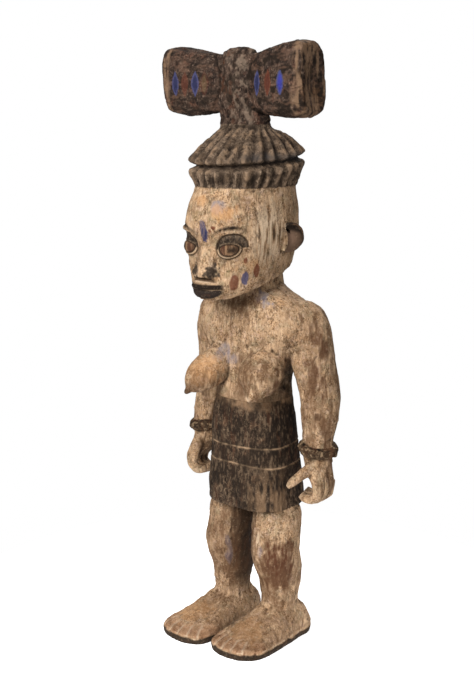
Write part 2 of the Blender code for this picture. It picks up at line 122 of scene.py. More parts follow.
def noise(points, size, seed, octaves=2):
    """Smooth noise from -1 to 1 with features of the given size (number or x, y, z)."""
    total = np.zeros(len(points))
    weight = 1.0
    full = 0.0
    for octave in range(octaves):
        p = points / np.array(size, dtype=float) * 2**octave + 1000.5
        cell = np.floor(p).astype(np.int64)
        f = p - cell
        f = f * f * (3 - 2 * f)
        value = np.zeros(len(points))
        for corner in range(8):
            dx, dy, dz = corner & 1, corner >> 1 & 1, corner >> 2 & 1
            share = (np.where(dx, f[:, 0], 1 - f[:, 0]) * np.where(dy, f[:, 1], 1 - f[:, 1])
                     * np.where(dz, f[:, 2], 1 - f[:, 2]))
            value += share * cell_value(cell[:, 0] + dx, cell[:, 1] + dy, cell[:, 2] + dz, seed + octave)
        total += (value * 2 - 1) * weight
        full += weight
        weight *= 0.5
    return total / full * 1.5


# ---- carved blanks

class Blank:
    """Closed shells gathered into one list of points and faces."""

    def __init__(self):
        self.points = []
        self.faces = []

    def add(self, rings, hoop=False):
        """Shell over a list of rings: flat caps on both ends, or the ends joined into a hoop."""
        base = len(self.points)
        count = len(rings[0])
        for ring in rings:
            self.points.extend(np.asarray(ring).tolist())
        for r in range(len(rings) if hoop else len(rings) - 1):
            low = base + r * count
            high = base + (r + 1) % len(rings) * count
            for i in range(count):
                j = (i + 1) % count
                self.faces.append((low + i, low + j, high + j, high + i))
        if not hoop:
            last = base + (len(rings) - 1) * count
            self.faces.append(tuple(range(base + count - 1, base - 1, -1)))
            self.faces.append(tuple(range(last, last + count)))


def power_wave(wave, power):
    """Sine or cosine of a superellipse of the given power."""
    return np.sign(wave) * np.abs(wave) ** (2 / power)


def turns(count):
    return np.linspace(0, 2 * math.pi, count, endpoint=False)


def level_section(z, x, half_width, front, back, power, around):
    """Outline of one level section between its front and back y."""
    across = half_width * power_wave(np.cos(around), power)
    along = (back - front) / 2 * power_wave(np.sin(around), power)
    return np.column_stack([x + across, (front + back) / 2 + along, np.full(len(around), z)])


def level_loft(stations, spacing=2.0, count=96):
    """Rings of level sections: z, x, half width, front, back, power."""
    heights = np.arange(stations[0][0], stations[-1][0] + spacing / 2, spacing)
    return [level_section(*row, turns(count)) for row in smooth_rows(stations, heights)]


def sweep(path, side_axis=(0.0, 1.0, 0.0), power=2.0, rings=48, count=48):
    """Rings of a tube: x, y, z, radius along side_axis, radius across it."""
    rows = np.array(path, dtype=float)
    steps = np.arange(len(rows), dtype=float)
    rows = smooth_rows(np.column_stack([steps, rows]), np.linspace(0, steps[-1], rings))[:, 1:]
    tangents = np.gradient(rows[:, :3], axis=0)
    tangents /= np.linalg.norm(tangents, axis=1)[:, None]
    across = np.cross(tangents, np.array(side_axis))
    across /= np.linalg.norm(across, axis=1)[:, None]
    along = np.cross(across, tangents)
    cosine = power_wave(np.cos(turns(count)), power)
    sine = power_wave(np.sin(turns(count)), power)
    return [row[:3] + np.outer(cosine * row[3], a) + np.outer(sine * row[4], c)
            for row, a, c in zip(rows, along, across)]


def mirrored(rings):
    return [np.asarray(ring)[::-1] * (-1, 1, 1) for ring in rings]


def face_angle(x, y):
    """Angle round the face from the middle line, in degrees."""
    return np.degrees(np.arctan2(x, FACE_CENTRE_Y - y))


def face_relief(x, y, z):
    """How far the features of the face stand out of the plain head, in millimetres."""
    u = np.abs(face_angle(x, y))
    nose_width = np.interp(z, (488, 499, 512, 540), (17, 18, 12.5, 8))
    nose_height = np.interp(z, (485.5, 489.5, 496, 515, 533, 545), (0, 8, 10.5, 7, 3.5, 0))
    nose = nose_height * bump(x, nose_width) ** 0.7
    wings = 5.0 * bump(np.abs(x) - 12.5, 6.5) * bump(z - 495, 8.5)
    lips = 7.6 * bump(x, 30.0) * bump(z - 478, 7.0) + 9.2 * bump(x, 26.0) * bump(z - 468, 8.0)
    muzzle = 3.5 * bump(x, 36.0) * bump(z - 478, 24.0)
    brow = 3.6 * bump(u - 33, 30) * bump(z - 547, 8)
    ball = 6.5 * bump(np.hypot((u - 35) / 20.0, (z - 522) / 15.0), 1.0)
    socket = -3.0 * bump(u - 19, 8) * bump(z - 528, 14)
    cheek = 1.5 * bump(u - 44, 22) * bump(z - 498, 14)
    return nose + wings + lips + muzzle + brow + ball + socket + cheek


def head_blank():
    """Skull with a flat broad face and a round back, cut under the jaw."""
    stations = [
        (440, 30, -80, 30, 2.3, 2.1), (452, 35, -90, 34, 2.3, 2.1), (462, 40, -98, 36, 2.4, 2.1),
        (472, 44, -101, 38, 2.5, 2.1), (490, 49, -100, 41, 2.8, 2.1), (510, 52.5, -98, 44.5, 3.0, 2.1),
        (530, 55, -99, 49.5, 3.0, 2.1), (545, 56, -103, 52, 2.8, 2.1), (560, 55.5, -105, 52, 2.6, 2.1),
        (578, 53.5, -101, 50.5, 2.4, 2.1), (HAIRLINE_Z, 50.5, -94, 48.5, 2.3, 2.1),
        (604, 49, -91, 46, 2.3, 2.1),
    ]
    cosine = np.cos(turns(240))
    sine = np.sin(turns(240))
    ahead = sine < 0
    rings = []
    for z, half, front, back, power_front, power_back in smooth_rows(stations, np.arange(440, 604.1, 1.0)):
        power = np.where(ahead, power_front, power_back)
        depth = np.where(ahead, HEAD_MIDDLE_Y - front, back - HEAD_MIDDLE_Y)
        x = half * power_wave(cosine, power)
        y = HEAD_MIDDLE_Y + depth * power_wave(sine, power)
        relief = face_relief(x, y, z) * step(-y, 38, 60)
        length = np.hypot(x, y - FACE_CENTRE_Y)
        x = x + relief * x / length
        y = y + relief * (y - FACE_CENTRE_Y) / length
        floor = CHIN[2] + (y - CHIN[1]) * math.tan(JAW_RISE)
        rings.append(np.column_stack([x, y, np.maximum(z, floor)]))
    return rings


def ear_blank():
    """Cupped ear, hollow to the front, that leans back from the temple."""
    profile = [(0.05, -11.0), (0.45, -10.5), (0.80, -7.5), (0.97, -2.0), (1.0, 1.6), (0.95, 3.4),
               (0.86, 3.0), (0.76, -0.8), (0.56, -3.8), (0.25, -5.2), (0.04, -5.4)]
    rings = []
    for spread, lift in profile:
        turn = turns(64)
        across = EAR_HALF_WIDTH * spread * power_wave(np.cos(turn), 2.3)
        up = EAR_HALF_HEIGHT * spread * power_wave(np.sin(turn), 2.2)
        low = step(-up, 2, 19)
        level = np.outer(across * (1 - 0.15 * low) - 3.0 * low, EAR_OUTWARD)
        near = step(-across, 0, 10) * (lift > -7 and spread < 0.97)
        lifts = np.outer(lift + (2.0 - lift) * 0.8 * near, EAR_FORWARD)
        rings.append(EAR + level + lifts + np.outer(up, (0, 0, 1)))
    return rings


def pleated(z, half, front, back, pleats, depth, sharpness):
    """Level section whose rim is cut into uneven pleats."""
    around = turns(pleats * 12)
    outline = level_section(z, 0, half, front, back, 2.2, around - math.pi / 2)
    middle = (front + back) / 2
    uneven = 0.55 * np.sin(5 * around + pleats) + 0.35 * np.sin(11 * around)
    wave = (1 - np.cos(around * pleats + uneven)) / 2
    inset = depth * wave**sharpness
    radius = np.hypot(outline[:, 0], outline[:, 1] - middle)
    outline[:, 0] *= 1 - inset / radius
    outline[:, 1] = middle + (outline[:, 1] - middle) * (1 - inset / radius)
    return outline


def tier_rings(stations, pleats, sharpness, share):
    """Rings of a pleated tier, tilted down to the front by the share at each height."""
    rings = []
    heights = np.arange(stations[0][0], stations[-1][0] + 0.1)
    for z, half, front, back, depth in smooth_rows(stations, heights):
        ring = pleated(z, half, front, back, pleats, depth, sharpness)
        ring[:, 2] += (ring[:, 1] - AXE_Y) * math.tan(TIER_TILT) * share(z)
        rings.append(ring)
    return rings


def lower_tier_blank():
    """Fluted band of hair above the forehead, widening to a sharp upper edge."""
    stations = [
        (HAIRLINE_Z - 1.0, 50.5, -93, 49, 0.3), (HAIRLINE_Z, 51.5, -94, 51, 1.5),
        (599, 54.5, -95.5, 53, 4.4), (608, 59, -98, 56.5, 5.4), (616, 62.5, -100.5, 59.5, 6.0),
        (618.5, 62, -100, 59, 5.4), (620.5, 57, -94, 54, 1.5), (TIER_NOTCH_Z, 52, -87, 48, 0.3),
        (632, 50, -82, 44, 0.2),
    ]
    return tier_rings(stations, LOWER_PLEATS, 0.8, lambda z: step(z, HAIRLINE_Z, HAIRLINE_Z + 20))


def upper_tier_blank():
    """Pleated cone of hair that spreads from the axe stem to a toothed rim."""
    stations = [
        (618, 46, -80, 42, 0.2), (TIER_NOTCH_Z - 0.5, 51, -87, 47, 0.4), (626.5, 59, -96.5, 55, 5.0),
        (628.5, 63, -100.5, 59, 7.6), (631, 63, -100.5, 59, 7.8), (638, 58.5, -93, 50.5, 6.4),
        (648, 51, -79, 37.5, 4.8), (658, 41, -61, 17, 3.6), (STEM_BASE_Z - 2, 33.5, -45, -2, 1.4),
        (672, 29, -40, -8, 0.1),
    ]
    return tier_rings(stations, UPPER_PLEATS, 0.75, lambda z: 1 - step(z, 654, STEM_BASE_Z))


def axe_blanks():
    """Stem that narrows to a strap, and two flared blades with slightly hollow ends."""
    stem = [
        (658, 0, 33, -44, -4, 3.2), (STEM_BASE_Z, 0, 32.5, -44, -4.5, 3.2),
        (682, 0, 32.5, -45, -6, 3.0), (690, 0, 30, -46, -10, 2.9), (699, 0, 25.5, -47.5, -14, 2.9),
        (710, 0, 22.5, -49, -15, 2.9), (724, 0, 21, -50, -15, 3.0), (740, 0, 21, -49.5, -15, 2.9),
        (749, 0, 21, -48, -17, 2.7), (754, 0, 19.5, -46, -20, 2.6), (757, 0, 16, -42, -24, 2.4),
        (758, 0, 9, -37, -29, 2.0),
    ]
    shells = [level_loft(stem, spacing=1.5)]
    blade = [
        (0.0, -1.5, 13.0, 33.0), (24.0, -1.5, 13.5, 33.5), (42.0, -1.5, 19.5, 36.6),
        (66.0, -0.5, 24.3, 40.2), (88.0, 1.0, 26.3, 42.2), (101.0, 2.0, 26.2, 41.8),
        (107.0, 2.3, 24.8, 40.0),
    ]
    lip = [(108.6, 2.3, 22.8, 37.8), (109.0, 2.3, 21.0, 35.6), (108.2, 2.3, 18.6, 32.5),
           (106.6, 2.3, 14.0, 26.0), (105.8, 2.3, 5.0, 9.0)]
    rows = list(smooth_rows(blade, np.arange(0, 107.1, 2.0))) + [np.array(row) for row in lip]
    cosine = power_wave(np.cos(turns(120)), 3.3)
    sine = power_wave(np.sin(turns(120)), 3.3)
    for side in (1, -1):
        rings = []
        for reach, lift, half_depth, half_height in rows:
            grown = 1 + side * BLADE_DIFFERENCE * reach / BLADE_REACH
            z = AXE_Z + lift + half_height * grown * sine
            x = side * reach - (z - AXE_Z) * math.tan(AXE_LEAN) * reach / BLADE_REACH
            rings.append(np.column_stack([x, AXE_Y + half_depth * cosine, z]))
        shells.append(rings)
    return shells


def trunk_blanks():
    """Chest, belly, neck and two breasts."""
    torso = [
        (312, 0, 46, -45.5, 36, 2.6), (WRAPPER_TOP_Z, 0, 47, -46.5, 37.5, 2.6),
        (350, 0, 46.5, -45, 38, 2.5), (372, 0, 56, -45, 43, 2.5), (395, 0, 70, -45, 46, 2.6),
        (418, 0, 84, -44, 46, 2.6), (436, 0, 82, -42, 43, 2.5), (448, 0, 73, -41, 39, 2.4),
        (456, 0, 58, -41, 37, 2.3), (463, 0, 43, -41, 35, 2.2), (468, 0, 35, -41, 34, 2.1),
    ]
    neck = [
        (440, 0, 37, -39, 37, 2.1), (NECK_BASE_Z, 0, 34.5, -41, 34.5, 2.1),
        (480, 0, 33.5, -43, 33, 2.1), (500, 0, 34, -45, 34, 2.1), (520, 0, 34, -46, 34, 2.1),
    ]
    right_breast = [
        (-31, -20, 371, 20, 21), (-32.5, -38, 367, 22.5, 23.5), (-34, -55, 361, 22, 23),
        (-35.5, -69, 354, 20.5, 21), (-37, -81, 346.5, 14.5, 15), (-38, -89, 341, 5.4, 5.4),
        (-38.5, -93.5, 338, 3.2, 3.2), (-38.8, -96, 336.5, 1.4, 1.4),
    ]
    left_breast = [
        (33, -20, 375, 24, 23), (38, -34, 370, 28, 26.5), (42, -47, 362, 28, 26),
        (45, -57, 353, 23, 22), (45.5, -64, 345, 14, 14), (44.5, -70, 338, 6, 6.5),
        (44, -73, 335.5, 2, 2),
    ]
    shells = [level_loft(torso), level_loft(neck)]
    shells += [sweep(path, side_axis=(1.0, 0.0, 0.0)) for path in (right_breast, left_breast)]
    return shells


def arm_blank():
    """Shoulder, upper arm and forearm to the wrist, a little bent at the elbow."""
    stations = [
        (244, 93.5, 17.5, -9, 27, 2.1), (262, 92.5, 18, -10, 28, 2.1),
        (277, 92.5, 18.5, -10.5, 29, 2.1), (290, 91.5, 20.5, -10, 34, 2.1),
        (304, 90, 22.5, -8.5, 39, 2.1), (322, 87.5, 24, -6, 45, 2.1), (345, 83, 25.5, -7, 48, 2.1),
        (372, 78, 27, -12, 46, 2.1), (400, 76, 28, -16, 41, 2.1), (424, 74, 25.5, -15.5, 37, 2.1),
        (440, 71.5, 21, -10, 31, 2.1), (449, 68.5, 13, -2, 24, 2.0), (453, 67, 5, 6, 16, 2.0),
    ]
    return level_loft(stations, count=72)


def bracelet_blank(tip):
    """Raised ring carved round the wrist, lower on its outer side by the given slope."""
    rings = []
    for turn in turns(72):
        angle = turns(16)
        wobble = 1 + 0.10 * math.sin(3 * turn + 1) + 0.06 * math.sin(7 * turn)
        grow = 2.0 + 5.2 * wobble * power_wave(np.cos(angle), 2.6)
        lift = 6.0 * wobble * power_wave(np.sin(angle), 2.6)
        x = (18.0 + grow) * math.cos(turn)
        y = (19.6 + grow) * math.sin(turn)
        rings.append(WRIST + np.column_stack([x, y, lift - x * tip + y * 0.06]))
    return rings


def hand_blanks():
    """Half-closed hand: curled fingers and a thumb that points forward."""
    fingers = [
        (92.5, 9, 262, 17.5, 16.5), (95, 7.5, 245, 18, 15), (101, 4.5, 233, 19, 12),
        (107, 2.5, 221, 19.5, 9), (105.5, 1.5, 210.5, 19, 7.8), (97, 0, 204.5, 18, 7),
        (87, -2, 205, 16.5, 6.2), (80, -4, 209, 14, 4.2),
    ]
    thumb = [
        (99, 0, 248, 8, 8), (93, -12, 242, 8.2, 7.5), (87, -22, 235, 7.4, 6.6),
        (82, -31, 228, 6.4, 5.6), (79.5, -37, 223, 3.4, 3),
    ]
    return [sweep(fingers, power=2.5, rings=60, count=64), sweep(thumb, rings=40)]


def wrapper_blank():
    """Short wrapper cloth, squarish in section."""
    stations = [
        (HEM_Z, 0, 61, -51, 50, 3.0), (230, 0, 57.5, -50, 46, 2.9), (275, 0, 53.5, -50, 42, 2.8),
        (310, 0, 50.6, -50, 39.5, 2.6), (320, 0, 48.6, -48, 38.3, 2.6),
        (WRAPPER_TOP_Z + 3, 0, 44, -43, 35, 2.6),
    ]
    return level_loft(stations, count=120)


def leg_blank(girth):
    """Short thick leg, knee forward and calf back."""
    stations = [
        (36, 41, 22.5, -25, 24, 2.1), (ANKLE_Z, 41, 22.5, -25, 24, 2.1), (62, 40.5, 24, -27, 26, 2.1),
        (85, 40, 27, -31, 31, 2.1), (104, 40, 29.5, -39, 27, 2.1), (116, 40, 30, -42, 23, 2.1),
        (150, 37.5, 31.5, -37, 26, 2.1), (175, 36.5, 29.5, -34, 29, 2.1),
        (HEM_Z, 34, 26.5, -33, 28, 2.1), (190, 33, 24, -32, 26, 2.1),
    ]
    rings = level_loft(stations, count=80)
    for ring in rings:
        ring[:, 0] = 40 + (ring[:, 0] - 40) * girth
    return rings


def foot_blank(stations):
    """Long flat foot: domed top, a square sole edge, flat below."""
    edge = 8.0
    around = np.linspace(0, math.pi, 61)
    rings = []
    for y, x, half, height in smooth_rows(stations, np.arange(stations[0][0], stations[-1][0] + 0.5, 1.5)):
        dome_x = x + half * power_wave(np.cos(around), 2.5)
        dome_z = edge + (height - edge) * power_wave(np.sin(around), 2.5)
        dome = np.column_stack([dome_x, np.full(61, y), dome_z])
        side = half + 1.4
        right = [(x + side - 2.0 * (1 - t), y, t * edge) for t in np.linspace(0, 0.98, 7)]
        left = [(x - side + 2.0 * (1 - t), y, t * edge) for t in np.linspace(0.98, 0, 7)]
        rings.append(np.array(right + dome.tolist() + left))
    return rings


# Rows of the feet, from toes to heel: y, x, half width, height.
LEFT_FOOT = [
    (-99, 26, 9, 11), (-96.5, 27, 19, 13), (-91, 28.5, 29, 16.5), (-80, 31, 36, 20.5), (-66, 33, 38, 24.5),
    (-44, 37, 35, 34), (-22, 40, 31, 46), (5, 42, 28, 52), (30, 43, 25, 40), (43, 43, 16, 22),
]
RIGHT_FOOT = [
    (-105, 49, 10, 11), (-102.5, 49.5, 20, 13), (-97, 50, 30, 16.5), (-86, 50, 37, 20), (-72, 49, 38, 23),
    (-46, 45, 35, 33), (-22, 43, 30, 46), (5, 41, 28, 52), (30, 41, 24, 40), (43, 41, 15, 22),
]


def carve_blank():
    """The whole figure as overlapping shells."""
    blank = Blank()
    for rings in [head_blank(), lower_tier_blank(), upper_tier_blank(), wrapper_blank()]:
        blank.add(rings)
    for rings in axe_blanks() + trunk_blanks():
        blank.add(rings)
    pairs = [ear_blank(), arm_blank()] + hand_blanks()
    for rings in pairs:
        blank.add(rings)
        blank.add(mirrored(rings))
    blank.add(leg_blank(1.0))
    blank.add(mirrored(leg_blank(0.97)))
    blank.add(foot_blank(LEFT_FOOT))
    blank.add(mirrored(foot_blank(RIGHT_FOOT)))
    return blank


def bracelets():
    """The rings round both wrists."""
    blank = Blank()
    blank.add(bracelet_blank(0.16), hoop=True)
    blank.add(mirrored(bracelet_blank(0.10)), hoop=True)
    return blank


def new_mesh(name, points, faces):
    mesh = bpy.data.meshes.new(name)
    mesh.from_pydata(np.asarray(points).tolist(), [], faces)
    mesh.update()
    return mesh


def new_object(name, data):
    item = bpy.data.objects.new(name, data)
    bpy.context.scene.collection.objects.link(item)
    return item


def fused(blanks):
    """One watertight skin round all the shells, as arrays of points and quads."""
    whole = bmesh.new()
    for blank in blanks:
        mesh = new_mesh("shells", blank.points, blank.faces)
        whole.from_mesh(mesh)
        bpy.data.meshes.remove(mesh)
    bmesh.ops.recalc_face_normals(whole, faces=whole.faces)
    mesh = bpy.data.meshes.new("blank")
    whole.to_mesh(mesh)
    whole.free()
    item = new_object("blank", mesh)
    modifier = item.modifiers.new("fuse", "REMESH")
    modifier.mode = "VOXEL"
    modifier.voxel_size = VOXEL
    modifier.adaptivity = 0.0
    graph = bpy.context.evaluated_depsgraph_get()
    skin = bpy.data.meshes.new_from_object(item.evaluated_get(graph))
    bpy.data.objects.remove(item)
    points = np.zeros(len(skin.vertices) * 3)
    skin.vertices.foreach_get("co", points)
    corners = np.zeros(len(skin.loops), dtype=np.int64)
    skin.loops.foreach_get("vertex_index", corners)
    return points.reshape(-1, 3), corners.reshape(-1, 4)


def sums(index, rows, count):
    """Sum of the rows that share an index, for each index below the count."""
    columns = [np.bincount(index, weights=column, minlength=count) for column in rows.T]
    return np.stack(columns, axis=1)


class Skin:
    """The carved surface: its points, quads and neighbours."""

    def __init__(self, points, quads):
        self.p = points
        self.quads = quads
        pairs = np.concatenate([quads[:, [0, 1]], quads[:, [1, 2]], quads[:, [2, 3]], quads[:, [3, 0]]])
        pairs = np.unique(np.sort(pairs, axis=1), axis=0)
        self.a = np.concatenate([pairs[:, 0], pairs[:, 1]])
        self.b = np.concatenate([pairs[:, 1], pairs[:, 0]])
        self.degree = np.bincount(self.a, minlength=len(points))[:, None]

    def average(self, values):
        """Mean of each point's neighbours."""
        return sums(self.a, values[self.b], len(values)) / self.degree

    def relax(self, rounds, share=0.5, mask=None):
        """Smooth the surface, all of it or where the mask is above 0."""
        amount = share if mask is None else share * mask[:, None]
        for _ in range(rounds):
            self.p = self.p + (self.average(self.p) - self.p) * amount

    def normals(self):
        """Outward unit normal at each point."""
        corner = self.p[self.quads]
        face = np.cross(corner[:, 2] - corner[:, 0], corner[:, 3] - corner[:, 1])
        total = sum(sums(self.quads[:, k], face, len(self.p)) for k in range(4))
        return total / np.maximum(np.linalg.norm(total, axis=1), 1e-12)[:, None]

    def push(self, amount):
        """Move the points out along their normals by millimetres."""
        self.p = self.p + self.normals() * amount[:, None]

    def patches(self, size, seed, low, high):
        """Ragged patches: noise of the given size, from 0 at low to 1 at high."""
        return step(noise(self.p, size, seed), low, high)


# ---- cutting the surface

def scattered_groups(points, size, seed):
    """Group number of each point: points near the same scattered centre share one."""
    place = points / np.array(size, dtype=float) + 500.0
    home = np.floor(place).astype(np.int64)
    best = np.full(len(place), 1e9)
    group = np.zeros(len(place), dtype=np.int64)
    for number in range(27):
        cell = home + (number % 3 - 1, number // 3 % 3 - 1, number // 9 - 1)
        key = (cell[:, 0], cell[:, 1], cell[:, 2])
        centre = cell + np.stack([cell_value(*key, seed + i) for i in range(3)], axis=1)
        distance = ((place - centre) ** 2).sum(axis=1)
        closer = distance < best
        best = np.where(closer, distance, best)
        group = np.where(closer, (cell[:, 0] * 2000 + cell[:, 1]) * 2000 + cell[:, 2], group)
    return np.unique(group, return_inverse=True)[1]


def cut_facets(skin, size, strength, seed, mask):
    """Flatten the surface into the shallow facets an adze leaves."""
    group = scattered_groups(skin.p, size, seed)
    count = np.bincount(group)
    centre = sums(group, skin.p, len(count)) / count[:, None]
    way = sums(group, skin.normals(), len(count))
    length = np.linalg.norm(way, axis=1)
    way /= np.maximum(length, 1e-9)[:, None]
    one_sided = (length / count > 0.85)[group]
    offset = ((centre[group] - skin.p) * way[group]).sum(axis=1)
    offset = np.clip(offset, -1.2, 1.2) * strength * mask * one_sided
    skin.p = skin.p + way[group] * offset[:, None]


def ring_distance(x, z, half_width, half_height, power=2.0):
    """Distance from a closed oval line, below 0 inside it."""
    u = np.maximum(np.abs(x), 1e-6) / half_width
    v = np.maximum(np.abs(z), 1e-6) / half_height
    value = u**power + v**power
    slope = power * np.hypot(u ** (power - 1) / half_width, v ** (power - 1) / half_height)
    return (value - 1) / np.maximum(slope, 1e-3)


# ---- pigments (linear light)

def shade(red, green, blue):
    """Linear colour from 0 to 255 sRGB values."""
    chart = np.array([red, green, blue]) / 255
    return np.where(chart < 0.04045, chart / 12.92, ((chart + 0.055) / 1.055) ** 2.4)


# Near-black paint. Besides real black paint, it is also laid as painted shade under the arms, between the
# legs, under the hem, in the creases beside the strap and in the coiffure's grooves.
NEAR_BLACK = shade(33, 25, 19)
GREY_SOOT = shade(66, 57, 49)
EYE_BROWN = shade(74, 53, 38)
CLAY = shade(176, 148, 116)
PALE_CLAY = shade(216, 190, 160)
ULTRAMARINE = shade(62, 64, 98)
DEEP_BLUE = shade(34, 36, 62)
BRIGHT_BLUE = shade(50, 52, 124)
DUSTY_BLUE = shade(124, 116, 120)
BRICK = shade(78, 48, 32)
AMBER = shade(188, 138, 90)
OXIDE_RED = shade(98, 52, 36)
DARK_RED = shade(70, 38, 30)
RUST = shade(132, 84, 56)
WALNUT = shade(92, 66, 46)
OLIVE = shade(112, 98, 66)


class Paint:
    """Colour and cover at every point: real paint, stains and painted shade alike."""

    def __init__(self, count):
        self.colour = np.zeros((count, 3))
        self.cover = np.zeros(count)

    def lay(self, colour, cover):
        """Lay one colour, of paint or of painted shade, over what is already there."""
        cover = np.clip(cover, 0, 1)
        total = cover + self.cover * (1 - cover)
        share = np.divide(cover, total, out=np.zeros_like(cover), where=total > 1e-6)
        self.colour = self.colour * (1 - share[:, None]) + colour * share[:, None]
        self.cover = total

    def within(self, mask):
        """The same brush, kept inside a mask."""
        return lambda colour, cover: self.lay(colour, cover * mask)


# ---- the carving

def carve_eyes(skin, paint, z, u, front):
    """Almond eyes between thick lids, under a raised brow."""
    across = (np.abs(u) - EYE_TURN) * 1.03
    ball = across + 3.2
    high = z - (EYE_Z + across * 0.08)
    upper = high > 0
    opening = ring_distance(ball, high, 13.0, np.where(upper, 6.0, 8.8))
    rim = ring_distance(ball, high, 16.0, np.where(upper, 7.6, 11.4))
    lid = ring_distance(across - 1.0, high, 21.0, np.where(upper, 17.0, 13.0))
    brow_line = high - 25.0 + 0.013 * across**2
    inside = front & (opening < 0)
    amount = -1.0 * bump(opening, 1.7)
    amount += 0.7 * bump(rim + 1.4, 2.0) * ~upper
    amount += 0.3 * bump(rim + 0.6, 1.8) * upper
    amount -= 1.2 * bump(lid, 2.2) * upper
    amount -= 0.8 * bump(rim - 0.6, 2.0) * ~upper
    amount += 1.4 * bump(high - 20.5, 4.2) * bump(across, 23)
    amount -= 1.1 * bump(brow_line, 2.4) * bump(across + 4, 25)
    skin.push(np.where(front, amount, 0.0))
    ragged = 0.92 + 0.3 * noise(skin.p, 3.0, 71)
    shadowed = front * upper * step(-lid, 0, 1.5)
    lay = paint.within(front)
    paint.lay(GREY_SOOT, shadowed * (rim > -0.4) * ragged)
    paint.lay(NEAR_BLACK, shadowed * bump(rim - 2.0, 4.5) * 0.9 * ragged)
    lay(NEAR_BLACK, upper * bump(lid, 1.8) * 0.8 * ragged)
    lay(NEAR_BLACK, bump(rim - 0.9, 1.7) * ~upper * 0.6 * ragged)
    paint.lay(EYE_BROWN, inside * 0.97)
    streaks = skin.patches((3, 3, 9), 72, -0.1, 0.5)
    paint.lay(shade(150, 116, 86), inside * streaks * 0.6)
    paint.lay(DARK_RED, inside * bump(ball + 7.0, 5.0) * 0.5)
    lay(NEAR_BLACK, bump(opening, 1.7) * 0.9)
    paint.lay(NEAR_BLACK, inside * bump(np.hypot((ball - 4.5) / 7.0, (high + 1.0) / 5.2), 1.0) ** 0.6 * 0.9)
    lay(CLAY, bump(rim + 1.2, 1.1) * ~upper * 0.4 * ragged)
    lay(NEAR_BLACK, bump(brow_line, 3.8) ** 0.7 * bump(across + 4, 26) ** 0.6 * ragged)
    lay(NEAR_BLACK, bump(np.hypot((across + 17.5) / 4.5, (high - 3.0) / 5.5), 1.0) * 0.8)


def carve_nose_and_mouth(skin, paint, x, z, front):
    """Wings of the nose, and dark parted lips."""
    wing = np.hypot((np.abs(x) - 13.0) / 9.0, (z - 496) / 9.0)
    amount = -1.2 * bump(z - 486.5, 2.4) * bump(x, 22)
    amount -= 0.9 * bump(np.abs(x) - 5.5, 2.2) * bump(z - 492, 7)
    amount -= 1.8 * bump(z - 473.8, 2.6) * bump(x, 25)
    amount -= 0.8 * bump(np.hypot(x / 25.0, (z - 474) / 13.0) - 1.0, 0.14)
    skin.push(np.where(front, amount, 0.0))
    patchy = 0.45 * noise(skin.p, 3.2, 73)
    lay = paint.within(front)
    lay(GREY_SOOT, step(1.05 - wing + patchy, 0, 0.3) * 0.85)
    lay(NEAR_BLACK, step(0.9 - wing + patchy, 0, 0.5) * 0.75)
    lay(NEAR_BLACK, bump(z - 487.5, 2.6) * bump(x, 20) * 0.95)
    nostril = np.hypot((np.abs(x) - 6.5) / 3.2, (z - 490) / 3.0)
    lay(NEAR_BLACK, bump(nostril, 1.0) * 0.95)
    upper_lip = step(27.0 - np.abs(x), 0, 4) * step(z, 474.0, 475.5) * step(-z, -482.0, -480.0)
    lower_lip = step(1.0 - np.hypot(x / 25.0, (z - 473.0) / 11.5), 0, 0.12) * (z < 474.2)
    lay(NEAR_BLACK, upper_lip)
    lay(shade(42, 34, 30), lower_lip)
    lay(PALE_CLAY, bump(z - 483.2, 1.3) * bump(x, 24) * 0.6)
    lay(NEAR_BLACK, bump(z - 473.8, 1.5) * bump(x, 24) * 0.9)


def scored_lines(skin, width):
    """1 along the two wavering lines scored round the wrapper."""
    x, _, z = skin.p.T
    return sum(bump(z - height - 1.5 * np.sin(x / 21 + number) + 0.02 * x, width)
               for number, height in enumerate(SCORED_LINES))


def carve_toes(skin, paint, centre, turns_deg, mask):
    """Short pale cuts between the toes, over the front edge of a foot."""
    x, y, z = skin.p.T
    reach = np.hypot(x - centre[0], y - centre[1])
    turn = np.degrees(np.arctan2(x - centre[0], centre[1] - y))
    front = step(-y, 62, 72) * step(z, 8, 10) * step(-z, -22, -17) * mask
    amount = np.zeros(len(z))
    cuts = np.zeros(len(z))
    for angle in turns_deg:
        cut = bump((turn - angle) * reach * math.pi / 180, 2.1) * front
        amount -= 1.5 * cut
        cuts = np.maximum(cuts, cut)
    paint.lay(RUST, front * 0.4)
    paint.lay(PALE_CLAY, cuts * 0.65)
    skin.push(amount)


def carve_fingers(skin, side):
    """Grooves between the fingers of one hand."""
    x, y, z = skin.p.T
    mask = (x * side > 66) * step(-z, -240, -232) * (z > 198)
    middle = np.interp(z, (204, 221, 262), (0, 2.5, 9))
    amount = np.zeros(len(z))
    for offset in (-9.0, 0.5, 9.5):
        amount -= 1.0 * bump(y - middle - offset, 2.0)
    skin.push(amount * mask)


def strap_edge(x, y, z):
    """1 along the curved creases where the blades meet the front of the strap."""
    crease = np.abs(x) - 22 - 0.011 * (z - AXE_Z) ** 2
    return bump(crease, 2.6) * (y < AXE_Y) * (np.abs(z - AXE_Z) < 33)


def on_bracelet(x, y, z):
    """True on the carved rings round the wrists."""
    outside = np.hypot(np.abs(x) - WRIST[0], y - WRIST[1]) > 20.5
    return (np.abs(z - WRIST[2]) < 17) & outside & (np.abs(x) > 60)


